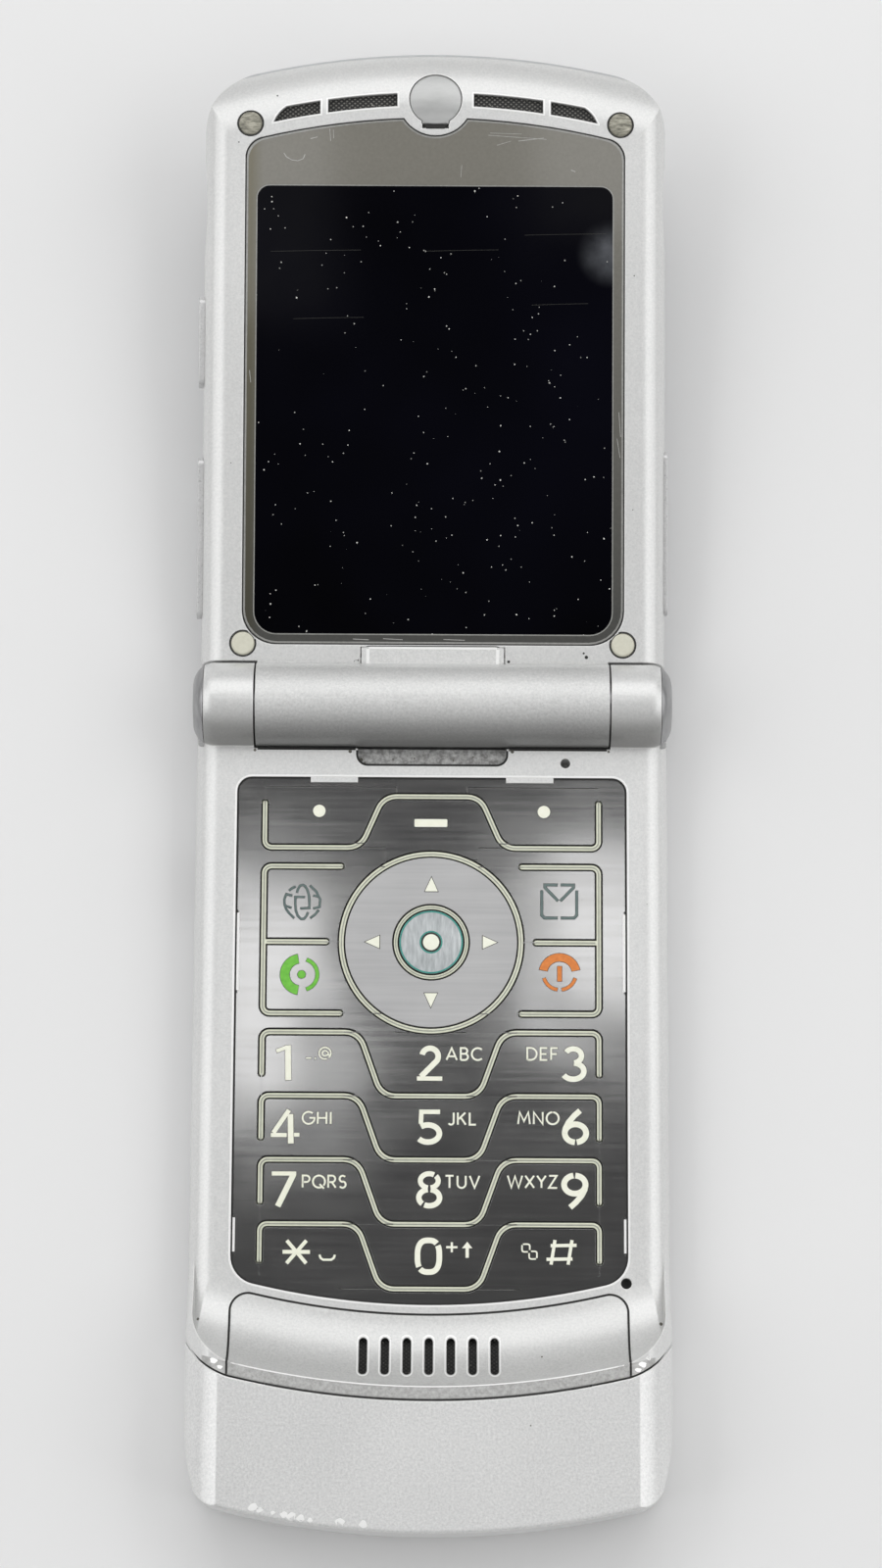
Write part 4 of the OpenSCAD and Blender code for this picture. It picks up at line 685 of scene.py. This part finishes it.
DIGITS = {
    "1": [([(-0.86, 1.28), (0.42, 1.76)], 0.4), ([(0.42, 1.93), (0.5, -1.95)], 0.64)],
    "2": [(arc(0.06, 0.78, 0.9, 168, -32) + [(-0.95, -1.5)], 0.62), ([(-1.38, -1.7), (1.42, -1.7)], 0.48)],
    "3": [(arc(-0.18, 0.92, 0.9, 150, -85, 0.78), 0.6), (arc(-0.21, -0.79, 1.19, 85, -150, 0.9), 0.62)],
    "4": [([(0.62, 1.75), (-1.08, -0.78)], 0.5), ([(-1.36, -1.02), (0.4, -1.02)], 0.46),
          ([(0.78, 1.3), (0.86, -1.95)], 0.62), ([(1.2, -0.98), (1.8, -0.98)], 0.42)],
    "5": [([(1.2, 1.64), (-0.86, 1.64), (-0.92, 0.3)], 0.5),
          (arc(-0.13, -0.77, 1.26, 128, -142, 0.95), 0.62)],
    "6": SIX,
    "7": [([(-1.2, 1.72), (1.5, 1.72)], 0.46), ([(1.18, 1.6), (-0.5, -1.9)], 0.64)],
    "8": [(p, 0.56) for p in oval(0.05, 1.0, 0.98, 0.78, [(50, 8), (-90, 9)])]
         + [(p, 0.6) for p in oval(0.05, -0.86, 1.14, 0.9, [(90, 8), (-125, 7)])],
    "9": [([(-x, -y) for x, y in p], w) for p, w in SIX],
    "0": [(p, 0.62) for p in oval(0, 0, 1.2, 1.74, [(42, 6), (222, 6)], 2.7)],
    "*": [([(-1.5, 0), (1.5, 0)], 0.42), ([(-1.05, -1.25), (1.1, 1.25)], 0.4),
          ([(-1.05, 1.25), (1.1, -1.25)], 0.4)],
    "#": [([(-0.72, 1.35), (-1.15, -1.35)], 0.36), ([(1.15, 1.35), (0.72, -1.35)], 0.36),
          ([(-1.2, 0.72), (1.65, 0.78)], 0.36), ([(-1.65, -0.78), (1.2, -0.72)], 0.36)],
    "_": [([(-0.85, 0.4), (-0.72, 0.05), (-0.45, -0.14), (0.45, -0.14), (0.72, 0.05), (0.85, 0.4)], 0.24)],
    "+": [([(-0.62, 0), (0.62, 0)], 0.24), ([(0, -0.55), (0, 0.55)], 0.24)],
    "^": [([(0, -0.95), (0, 0.1)], 0.36)],
    "o": [(p, 0.2) for p in oval(-0.42, 0.42, 0.5, 0.5, [(-45, 30), (135, 12)], 4)]
         + [(p, 0.2) for p in oval(0.5, -0.5, 0.5, 0.5, [(135, 30), (-45, 12)], 4)],
}

CUT = KEY_TOP - 0.03  # foot of the marks, inside the keys
EDGE_TOP = KEY_TOP + 0.004
FILL_TOP = KEY_TOP + 0.012
RING = 26.95  # the ring's centre, from the hinge


class Marks(Shape):
    """Cut-through marks of one key: a dark edge below a pale fill, just over the key's face."""

    def __init__(self):
        super().__init__(base)
        self.step = 0

    def stroke(self, cx, cd, path, width, grow=0.045):
        """A line given around its centre, y up toward the hinge; the dark edge is grown outward."""
        self.step += 1
        lift = self.step * 0.0003  # keeps crossing strokes from lying in one plane
        pts = [(cx + x, cd - y) for x, y in path]
        ends = [tuple(Vector(end) + (Vector(end) - Vector(inner)).normalized() * grow)
                for end, inner in ((pts[0], pts[1]), (pts[-1], pts[-2]))]
        self.slot = 0
        self.line([ends[0]] + pts[1:-1] + [ends[1]], width + 2 * grow, CUT, EDGE_TOP + lift)
        self.slot = 1
        self.line(pts, width, CUT, FILL_TOP + lift)

    def area(self, pts, grown):
        self.step += 1
        self.slot = 0
        self.fill(grown, CUT, EDGE_TOP)
        self.slot = 1
        self.fill(pts, CUT, FILL_TOP)

    def spot(self, cx, cd, r, a1, n):
        self.area(arc(cx, cd, r, 0, a1, n=n), arc(cx, cd, r + 0.06, 0, a1, n=n))

    def crescent(self, cx, cd, r_out, r_in, a0, a1):
        """Thick arc between two circles."""
        for self.slot, grow, top in ((0, 0.06, EDGE_TOP), (1, 0, FILL_TOP)):
            turns = a0 - 25 * grow, a1 + 25 * grow
            radii = r_out + grow, r_in - grow
            edges = [[(cx + x, cd - y) for x, y in arc(0, 0, r, *turns, n=26)] for r in radii]
            self.band(*edges, CUT, top)

    def sign(self, name, cx, cd, size=1.0):
        for path, width in DIGITS[name]:
            self.stroke(cx, cd, [(x * size, y * size) for x, y in path], width * size)

    def word(self, text, cx, cd, space=0.43, height=1.33, width=0.205):
        x = -sum(LETTERS[c][0] for c in text) * height / 2 - space * (len(text) - 1) / 2
        for c in text:
            for path in LETTERS[c][1]:
                self.stroke(cx, cd, [(x + px * height, (py - 0.5) * height) for px, py in path], width)
            x += LETTERS[c][0] * height + space

    def on_key(self, key, fill=glyph_fill):
        self.piece("marks_" + key, key, [glyph_edge, fill], "mat_rubber")


NUMBER_KEYS = {
    "key_1": (("1", -16.2, 40.56), ("-.@", -12.4, 39.5, 0.36, 1.3, 0.17)),
    "key_2": (("2", -0.1, 40.56), ("ABC", 3.75, 39.5)),
    "key_3": (("3", 16.0, 40.56), ("DEF", 12.4, 39.45)),
    "key_4": (("4", -16.2, 47.6), ("GHI", -12.5, 46.7)),
    "key_5": (("5", -0.1, 47.6), ("JKL", 3.55, 46.7)),
    "key_6": (("6", 16.0, 47.6), ("MNO", 11.95, 46.6)),
    "key_7": (("7", -16.2, 54.6), ("PQRS", -11.6, 53.75, 0.36)),
    "key_8": (("8", -0.1, 54.6), ("TUV", 3.6, 53.7)),
    "key_9": (("9", 16.0, 54.6), ("WXYZ", 11.3, 53.65, 0.34)),
    "key_star": (("*", -14.6, 61.5), ("_", -11.2, 62.2)),
    "key_0": (("0", -0.1, 61.9), ("+", 2.46, 60.9), ("^", 4.15, 61.1)),
    "key_hash": (("#", 14.5, 61.4), ("o", 10.95, 61.3, 0.85)),
}
for key, signs in NUMBER_KEYS.items():
    marks = Marks()
    for sign in signs:
        (marks.sign if sign[0] in DIGITS else marks.word)(*sign)
    if key == "key_0":  # the head of the arrow
        marks.area([(3.58, 61.0), (4.72, 61.0), (4.15, 60.3)], [(3.46, 61.05), (4.84, 61.05), (4.15, 60.2)])
    marks.on_key(key)

for key, x in (("soft_key_left", -12.6), ("soft_key_right", 12.55)):
    dot = Marks()
    dot.spot(x, 12.1, 0.7, 351, 39)
    dot.on_key(key)

menu = Marks()
menu.area(rounded(-1.94, 1.74, 12.98, 13.87, 0.14), rounded(-2.0, 1.8, 12.92, 13.93, 0.18))
menu.on_key("menu_key")

# Web mark: a plain globe of meridians and parallels, with gaps where the metal bridges.
globe = Marks()
for path in (
        [(-0.61, 1.05), (-0.5, 1.5), (-0.3, 1.82), (-0.02, 1.94), (0.28, 1.8), (0.52, 1.4), (0.7, 0.8),
         (0.78, 0.1), (0.78, -0.68), (-0.2, -0.74)],
        [(0.62, -1.2), (0.45, -1.6), (0.2, -1.93), (-0.15, -1.93), (-0.5, -1.6), (-0.72, -1.0), (-0.8, -0.2),
         (-0.8, 0.56), (0.25, 0.56)],
        [(-1.17, 0.71), (-1.8, 0.86), (-2.02, 0.3), (-2.0, -0.2), (-1.85, -0.75), (-1.5, -1.25),
         (-0.92, -1.83)],
        [(-1.8, -0.49), (-1.24, -0.68)], [(-1.49, 1.28), (-1.15, 1.55), (-0.8, 1.74)],
        [(0.85, 1.84), (1.54, 1.15), (1.98, 0.27), (1.92, -0.56), (1.22, -0.74)],
        [(1.22, 0.71), (1.67, 0.64)], [(1.79, -0.93), (1.45, -1.4), (0.91, -1.82)]):
    globe.stroke(-14.37, 22.47, path, 0.2)
globe.on_key("web_key", icon_teal)

envelope = Marks()
for half in ([(-0.2, 1.85), (-1.6, 1.85), (-1.6, 1.55), (-0.15, 0.05)],
             [(-1.95, 1.2), (-1.95, -1.6), (-1.65, -1.9), (-0.2, -1.9)]):
    for path in (half, mirrored(half)):
        envelope.stroke(14.26, 22.25, path, 0.27)
envelope.on_key("message_key", icon_teal)

call = Marks()
call.crescent(-14.45, 30.67, 2.3, 1.28, 100, 260)
call.stroke(-14.37, 30.67, arc(0, 0, 1.75, -72, 72), 0.4)
call.spot(-14.37, 30.67, 0.44, 345, 23)
call.on_key("call_key", icon_green)

end = Marks()
end.crescent(14.3, 30.45, 2.3, 1.4, 12, 168)
for a in (-164, -82):
    end.stroke(14.3, 30.45, arc(0, 0, 1.8, a, a + 66), 0.36)
end.stroke(14.3, 30.45, [(0, 0.85), (0, -0.85)], 0.5)
end.on_key("end_key", icon_orange)

# Direction marks of the ring.
nav = Marks()
for turn in (0, 90, 180, 270):
    c, s = math.cos(math.radians(turn)), math.sin(math.radians(turn))
    for nav.slot, grow, top in ((0, 0.11, EDGE_TOP), (1, 0.0, FILL_TOP)):
        foot = 5.75 - grow * 0.8
        corners = [(0, 7.35 + 1.5 * grow), (-0.72 - grow, foot), (0.72 + grow, foot)]
        nav.fill([(x * c - y * s, RING - (x * s + y * c)) for x, y in corners], CUT, top)
nav.piece("marks_nav_ring", "nav", [glyph_edge, glyph_fill], "mat_rubber")

select = Marks()
for select.slot, r, top in ((0, 1.12, KEY_TOP + 0.006), (1, 0.9, KEY_TOP + 0.014)):
    select.fill(arc(0, RING, r, 0, 352, n=45), CUT, top)
select.slot = 2
for r, inner, a1, n in ((1.28, 1.12, 352, 45), (3.54, 3.36, 356, 89)):
    select.ring(arc(0, RING, r, 0, a1, n=n), arc(0, RING, inner, 0, a1, n=n), CUT, EDGE_TOP)
select.piece("marks_select_key", "select_key", [glyph_edge, glyph_fill, teal_film], "mat_rubber")

# ---------- lid dressing

LENS_HALF = 21.45  # half the lens's width
LENS_FOOT, LENS_TIP = 6.95, 66.95  # its ends, from the hinge
LENS_TOP = LID_TOP - 0.08
BADGE = 69.2  # the badge's centre, from the hinge


def lens_outline(inset):
    """The lens's outline, shrunk: arched tip with a dip round the badge."""
    w, foot, r_tip = LENS_HALF - inset, LENS_FOOT + inset, LENS_TIP + ARCH - inset
    corner, shoulder, dip = 3.9 - inset, 2.4, 4.3 + inset
    v = math.sqrt((r_tip - shoulder) ** 2 - (w - shoulder) ** 2)
    turn = math.degrees(math.atan2(v, w - shoulder))
    # where the arch meets the dip's circle about the badge
    far = BADGE + ARCH
    meet = 90 - math.degrees(math.acos((r_tip ** 2 + far ** 2 - dip ** 2) / (2 * r_tip * far)))
    right = (arc(w - corner, foot + corner, corner, 270, 360, n=8)
             + arc(w - shoulder, v - ARCH, shoulder, 0, turn, n=8) + arc(0, -ARCH, r_tip, turn, meet, n=24))
    x, v = right[-1]
    return whole(right + arc(0, BADGE, dip, math.degrees(math.atan2(v - BADGE, x)), -90, n=10)[1:])


def window(grow):
    """The display's opening in the lens's print, grown outward."""
    half = 20.15 + grow
    return rounded(-half, half, 8.1 - grow, 59.15 + grow, 2.5 + grow, 1.4 + grow, 9)


# The last frame is a painted shadow over the gap round the lens.
for name, outer, inner, height, finish in (
        ("lens_border", lens_outline(0.26), window(0.13), 0.015, border),
        ("window_edge", window(0.13), window(0.0), 0.018, pale_line),
        ("lens_rim", lens_outline(0.05), lens_outline(0.26), 0.01, pale_line),
        ("lens_seam", lens_outline(-0.16), lens_outline(0.05), 0.012, seam_black)):
    flat = Shape(lid)
    flat.frame(outer, inner, LENS_TOP - 0.05, LENS_TOP + height)
    flat.piece(name, "lid", [finish], "lens")

scratches = Shape(lid)
for path, width in (
        ([(-17.2, 62.9), (-16.9, 62.45), (-16.3, 62.1), (-15.6, 62.0), (-15.0, 62.25), (-14.8, 62.75)], 0.09),
        ([(-12.0, 65.7), (-11.9, 64.3)], 0.06), ([(-11.6, 65.6), (-11.55, 64.6)], 0.05),
        ([(-14.2, 64.55), (-13.4, 64.75)], 0.08), ([(6.0, 65.05), (12.6, 64.6)], 0.06),
        ([(9.4, 64.4), (12.3, 64.75)], 0.08), ([(7.0, 63.9), (8.6, 64.4)], 0.05),
        ([(6.2, 65.3), (9.8, 65.2)], 0.05), ([(3.0, 61.6), (2.9, 60.2)], 0.05),
        ([(15.4, 61.1), (15.9, 60.9)], 0.08), ([(-20.9, 38.0), (-20.75, 36.6)], 0.07),
        ([(20.9, 33.4), (21.1, 30.6)], 0.07), ([(20.7, 30.4), (21.05, 28.2)], 0.06),
        ([(-9.0, 7.5), (-7.2, 7.42)], 0.08), ([(-5.6, 7.55), (-3.4, 7.45)], 0.07),
        ([(1.2, 7.5), (3.6, 7.42)], 0.07)):
    scratches.line(path, width, LENS_TOP - 0.02, LENS_TOP + 0.024)
scratches.piece("lens_scratches", "lid", [scratch_pale], "lens")

faint = Shape(lid)
for x0, x1, v in ((-18.6, -8.4, 51.6), (-1.2, 7.2, 51.7), (10.2, 19.4, 53.6), (11.0, 17.4, 45.6),
                  (-16.0, -8.0, 43.9)):
    faint.line([(x0, v), ((x0 + x1) / 2, v + 0.12), (x1, v + 0.2)], 0.05, LENS_TOP - 0.02, LENS_TOP + 0.004)
faint.piece("screen_scratches", "lid", [scratch_dark], "lens")

# Painted shadow round the bumpers, in the notch under the badge and at the foot of the tab, and specks of
# dirt.
lid_shadow_and_dirt = Shape(lid)
for x, v in ((21.0, 66.3), (21.4, LENS_FOOT)):
    for s in (-1, 1):
        lid_shadow_and_dirt.draped(arc(s * x, v, 1.46, 0, 350, n=35), 0.15, -0.1, 0.006, lid_skin, closed=True)
lid_shadow_and_dirt.fill([(-1.35, 66.32), (1.35, 66.32), (1.02, 65.74), (-1.02, 65.74)], LID_TOP - 0.1, LID_TOP + 0.012)
lid_shadow_and_dirt.line(fillets([(-8.1, 5.4), (-8.0, 6.72), (8.0, 6.72), (8.1, 5.4)], [0, 1.1, 1.1, 0]), 0.1,
               LID_TOP - 0.05, LID_TOP + 0.012)
for place in ((-8.6, 4.85, 0.3), (-8.25, 5.1, 0.16), (8.55, 5.0, 0.16), (17.3, 5.55, 0.2), (17.0, 6.0, 0.12),
              (-21.3, 5.05, 0.12), (22.6, 49.0, 0.07), (-22.9, 27.4, 0.06), (22.5, 22.3, 0.06),
              (-18.0, 69.6, 0.1), (-22.3, 64.1, 0.08)):
    lid_shadow_and_dirt.speck(*place, lid_skin, 0.01)
lid_shadow_and_dirt.piece("lid_dark_lines", "lid", [seam_black], "lid_paint")

TAB_TOP = 0.55
TAB_CUT = TAB_TOP - 0.15
# Painted highlights along the tab's top edge and down its two ends.
tab_highlight = Shape(lid)
tab_highlight.line([(-7.2, 6.42), (7.2, 6.42)], 0.24, TAB_CUT, TAB_TOP + 0.008)
for x in (-7.3, 7.3):
    tab_highlight.line([(x, 4.4), (x, 6.3)], 0.36, TAB_CUT, TAB_TOP + 0.007)
tab_highlight.piece("tab_bright_edges", "lid", [bright_lip], "lid_paint")


def slot_loop(x0, x1, outer, grow=0.14):
    """Outline of an earpiece slot, grown outward; an outer slot tapers along an arc to its end."""
    low, high = 85.45 - grow, 86.95 + grow
    arc_x, arc_v, arc_r = 14.9, 65.2, 3.7 + grow
    top, bottom = [], []
    for k in range(15):
        x = x0 - grow + (x1 - x0 + 2 * grow) * k / 14
        foot = math.sqrt(low ** 2 - x * x) - ARCH
        head = math.sqrt(high ** 2 - x * x) - ARCH
        if outer and x > arc_x:
            head = min(head, arc_v + math.sqrt(max(arc_r ** 2 - (x - arc_x) ** 2, 0)))
        top.append((x, max(head, foot + 0.02)))
        bottom.append((x, foot))
    return bottom + top[::-1]


# Painted highlights round the earpiece slots.
ear_highlights = Shape(lid)
for x0, x1, outer in ((4.35, 12.2, False), (13.1, 18.4, True)):
    loop = slot_loop(x0, x1, outer)
    for path in (loop, mirrored(loop)):
        ear_highlights.draped(path, 0.17, -0.1, 0.008, lid_skin, closed=True)
ear_highlights.piece("ear_slot_rims", "lid", [bright_lip], "lid_paint")

# ---------- base dressing

DECK = 7.6  # top of the front housing beside the keypad
DECK_CUT = DECK - 0.2
MAT_TOP, RIB_LOW, RIB_TOP = 6.95, 7.2, KEY_TOP - 0.05  # the rubber in the grooves


def pad_outline(grow):
    """Outline of the keypad sheet, grown outward."""
    w, r, corner, shoulder = 21.65 + grow, 84.1 + grow, 3.0 + grow, 1.5 + grow
    cx = w - corner
    d = math.sqrt((r - corner) ** 2 - cx ** 2)
    turn = math.degrees(math.atan2(d, cx))
    return whole(arc(w - shoulder, 9.9, shoulder, 270, 360, n=8) + arc(cx, d - ARCH, corner, 0, turn, n=9)
                 + arc(0, -ARCH, r, turn, 90, n=16))


def crossing(r, a0, n):
    """Half a line across the base: a round end, then a long arc that runs on from it."""
    turn, apart = 77.2, 87.15  # where they join, and how far apart their centres are
    return arc(19.3, 67.99, r, a0, turn, n=n) + arc(0, -ARCH, r + apart, turn, 90, n=18)


# Painted shadow in the gaps round the keypad sheet, the grille plate and the chin, along the gap under the
# barrel and round the tab's pocket.
lines = Shape(base)
lines.ring(pad_outline(0.16), pad_outline(-0.06), RIB_LOW, KEY_TOP + 0.006)
plate = ([(21.79, 75.25), (21.79, 70.0)] + arc(19.8, 68.02, 1.99, 0, -103.1, n=14)
         + arc(0, -ARCH, 85.31, 76.9, 90, n=18))
lines.draped(whole(plate), 0.24, -0.3, 0.004, base_skin)
chin = [p for p in crossing(7.89, 29, 14) if base_skin(p) > 5 and base_skin((p[0] + 0.1, p[1])) > 5]
lines.draped(whole(chin), 0.24, -0.3, 0.006, base_skin)
for s in (-1, 1):
    lines.line([(s * 19.6, 5.0), (s * 8.6, 5.0)], 0.3, DECK_CUT, DECK + 0.006)
lines.line(fillets([(-8.42, 5.15), (-8.42, 6.84), (8.42, 6.84), (8.42, 5.15)], [0, 1.2, 1.2, 0]), 0.24,
           DECK_CUT, DECK + 0.007)
lines.piece("base_dark_seams", "base", [seam_black], "front_paint")

# Painted highlights: a white line round the keypad sheet, rims and tips of the sound slots, the ramp's crest,
# and the sheet's bent lips.
base_highlights = Shape(base)
base_highlights.ring(pad_outline(0.40), pad_outline(0.17), 7.5, DECK + 0.006)
for k in range(-3, 4):
    x = k * 2.39
    slot = rounded(x - 0.61, x + 0.61, 70.72, 75.26, 0.58, n=5)  # a little outside the sound slot
    base_highlights.draped(slot, 0.15, -0.2, 0.004, base_skin, closed=True)
    base_highlights.draped(arc(x, 71.26, 0.62, 205, 335, n=9), 0.26, -0.2, 0.005, base_skin)
base_highlights.draped(whole(crossing(6.42, 40, 12)), 0.15, -0.2, 0.012, base_skin)
for d0, d1 in ((23.75, 32.45), (57.75, 61.5)):
    for x in (-21.5, 21.5):
        base_highlights.line([(x, d0), (x, d1)], 0.26, 7.3, FILL_TOP)
base_highlights.piece("base_bright_edges", "base", [bright_lip], "front_paint")


def on_face(p, middle):
    """A chip's corner, pulled toward the chip's middle until it lies on the same face."""
    level = base_skin(middle) - 0.35
    pulls = ([a + (b - a) * k / 10 for a, b in zip(p, middle)] for k in range(11))
    x, d = next(q for q in pulls if base_skin(q) > level)
    return x, d, base_skin((x, d))


# Chips along the low left edge of the chin and the ends of the rim.
chips = Shape(base)
for x, d, r in ((-18.7, 89.5, 0.52), (-18.0, 89.8, 0.36), (-15.4, 90.3, 0.38), (-14.6, 90.5, 0.5),
                (-13.6, 90.65, 0.42), (-12.6, 90.85, 0.28), (-9.4, 91.1, 0.5), (-6.9, 91.25, 0.44),
                (-16.6, 90.1, 0.24), (-23.2, 73.9, 0.4), (-22.5, 74.6, 0.3), (22.6, 74.7, 0.34),
                (23.1, 74.1, 0.42), (23.7, 73.4, 0.26)):
    corners = []
    for a in [math.tau * k / 14 for k in range(14)]:
        wide, long = r * (1 + 0.22 * math.sin(3 * a + x)), 0.8 * r * (1 + 0.2 * math.cos(2 * a + d))
        corners.append(on_face((x + wide * math.cos(a), d + long * math.sin(a)), (x, d)))
    chips.fill(corners, -0.1, 0.012)
chips.piece("paint_chips", "base", [bright_lip], "chin_paint")

specks = Shape(base)
for place in ((-8.0, 6.1, 0.22), (-7.6, 6.45, 0.14), (-9.2, 5.3, 0.2), (9.0, 5.25, 0.2), (8.7, 5.1, 0.12),
              (12.3, 73.0, 0.1), (11.0, 80.7, 0.08), (-25.2, 69.0, 0.16), (25.3, 69.3, 0.2),
              (-19.9, 5.2, 0.16), (19.8, 5.2, 0.14), (-2.0, 5.9, 0.1), (2.4, 6.1, 0.1), (4.6, 5.7, 0.09),
              (-4.4, 6.0, 0.09)):
    specks.speck(*place, base_skin, 0.012)
specks.piece("dirt_specks", "base", [dirt], "front_paint")

# The sheet closes over the hairlines between its cells.
PITCH, LEG, SIDE_LEG = 7.1, 18.67, 10.1
HAIR = 0.09
SHEET_LOW, SHEET_TOP = 7.1, KEY_TOP + 0.0005
ROWS = [(37.1 + PITCH * row, drop) for row, drop in enumerate((4.65, 4.65, 4.65, 4.0))]
web = Shape(base)
for s in (-1, 1):
    hairs = [[(LEG, 9.3), (LEG, 11.2)], [(4.0, 9.3), (LEG, 9.3)], [(5.2, 15.75), (5.2, 18.0)],
             [(5.0, 15.75), (10.6, 15.75)], [(SIDE_LEG, 18.4), (5.2, 18.4)], [(SIDE_LEG, 35), (5.4, 35)],
             [(11.7, RING), (10.2, RING)]]
    for top, drop in ROWS:
        hairs += [[(4.0, top), (9.6, top)], [(LEG, top + drop), (LEG, min(top + PITCH, 64.9))]]
    for path in hairs:
        web.line([(s * x, d) for x, d in path], HAIR, SHEET_LOW, SHEET_TOP)
web.line(arc(0, -ARCH, 83.13, 77.1, 102.9, n=24), HAIR, SHEET_LOW, SHEET_TOP)
web.piece("sheet_web", "base", [web_metal], "key_metal")


def legs(top, low, leg):
    """A groove round the foot of a row: straight ends, bent down to the middle column."""
    right = [(LEG, leg), (LEG, top), (7.95, top), (5.4, low)]
    return fillets(mirrored(right) + right[::-1], [0, 0.8, 2.2, 2.2, 2.2, 2.2, 0.8, 0])


# Grooves: painted shadow at the sheet's cut edges, and a greyer line along the rib.
grooves = [legs(16.25, 10.4, 11.2)] + [legs(top, top + PITCH, top + drop) for top, drop in ROWS]
for s in (-1, 1):
    side = [(s * SIDE_LEG, 18.4), (s * LEG, 18.4), (s * LEG, 35), (s * SIDE_LEG, 35)]
    grooves += [fillets(side, [0, 0.8, 0.8, 0]), [(s * (LEG - 0.4), RING), (s * 11.7, RING)]]
deep, core = Shape(base), Shape(base)
for path in grooves:
    deep.line(path, 0.96, MAT_TOP, 7.12)
    core.line(path, 0.16, RIB_LOW, RIB_TOP)
for r, width in ((9.995, 0.9), (3.95, 0.82)):
    path = arc(0, RING, r, 0, 354, n=60)
    deep.line(path, width, MAT_TOP, 7.1, closed=True)
    core.line(path, 0.14, RIB_LOW, RIB_TOP, closed=True)
deep.piece("groove_shadow", "base", [seam_black], "mat_rubber")
core.piece("groove_core", "base", [groove_core], "mat_rubber")

# ---------- stage

floor_look = Look("floor")
floor_look.set({"Base Color": floor_look.noise(6.0).tint(0.78, 0.82), "Roughness": 0.7})
floor_mesh = bpy.data.meshes.new("floor")
floor_mesh.from_pydata([(-3, -3, 0), (3, -3, 0), (3, 3, 0), (-3, 3, 0)], [], [(0, 1, 2, 3)])
floor_mesh.materials.append(floor_look.material)
floor = put("floor", floor_mesh)
floor.location.z = -0.00002


def lamp(name, where, size, power, target=(0, 0, 0)):
    light = bpy.data.lights.new(name, "AREA")
    light.shape = "RECTANGLE"
    light.size, light.size_y = size
    light.energy = power
    obj = put(name, light)
    obj.location = where
    obj.rotation_euler = (Vector(target) - Vector(where)).to_track_quat("-Z", "Y").to_euler()


lamp("key_box", (0.0, 0.60, 0.76), (1.0, 0.70), 3.7)
lamp("left_box", (-0.60, 0.0, 0.70), (0.9, 0.5), 2.3)
lamp("right_box", (0.60, 0.0, 0.70), (0.9, 0.5), 2.3)
lamp("left_low", (-0.75, 0.0, 0.32), (0.9, 0.27), 0.95)
lamp("right_low", (0.75, 0.0, 0.32), (0.9, 0.27), 0.95)
lamp("front_fill", (0.0, -0.62, 0.62), (0.8, 0.3), 0.15)

# Two cards high above the lid's end; the polished keys mirror them, so both sides of the sheet look bright.
CARD_RADIANCE = 3.3
for name, x, behind, size in (("card_left", -0.056, 0.113, (0.044, 0.076)),
                              ("card_right", 0.052, 0.132, (0.046, 0.062))):
    y = HINGE.y + behind
    lamp(name, (x, y, 0.9), size, size[0] * size[1] * math.pi * CARD_RADIANCE, (x, y, 0))

# The sky is darkest overhead, where the flat metal mirrors it; the camera sees it plain.
world = bpy.data.worlds.new("studio")
world.use_nodes = True
sky = Nodes(world.node_tree)
up = sky.split(sky.add("ShaderNodeTexCoord", "Generated", {}))[2]
shade = up.ramp((0.0, 0.24), (0.3, 0.32), (0.86, 0.30), (0.975, 0.18), (1.0, 0.17))
seen = sky.add("ShaderNodeLightPath", "Is Camera Ray", {})
background = world.node_tree.nodes["Background"]
sky.feed(background.inputs["Color"], sky.mix(seen, shade, (0.70, 0.70, 0.70)))
background.inputs["Strength"].default_value = 1.0
bpy.context.scene.world = world

# The photograph's camera, which leans from straight above toward the chin.
PHOTO_HEIGHT, FOCAL = 1600, 4546  # in the photograph's pixels
SENSOR = 36
AWAY = 0.5
LEAN = math.radians(12)
ROLL = math.radians(0.3)

camera_data = bpy.data.cameras.new("camera")
camera_data.sensor_fit = "VERTICAL"
camera_data.sensor_height = SENSOR
camera_data.lens = FOCAL / PHOTO_HEIGHT * SENSOR
camera = put("camera", camera_data)
aim = Vector((0.00101, HINGE.y - 0.00886, 0.007))
camera.matrix_world = (Matrix.Translation(aim) @ Matrix.Rotation(LEAN, 4, "X") @ Matrix.Rotation(ROLL, 4, "Z")
                       @ Matrix.Translation((0, 0, AWAY)))
bpy.context.scene.camera = camera
bpy.context.scene.view_settings.view_transform = "Standard"
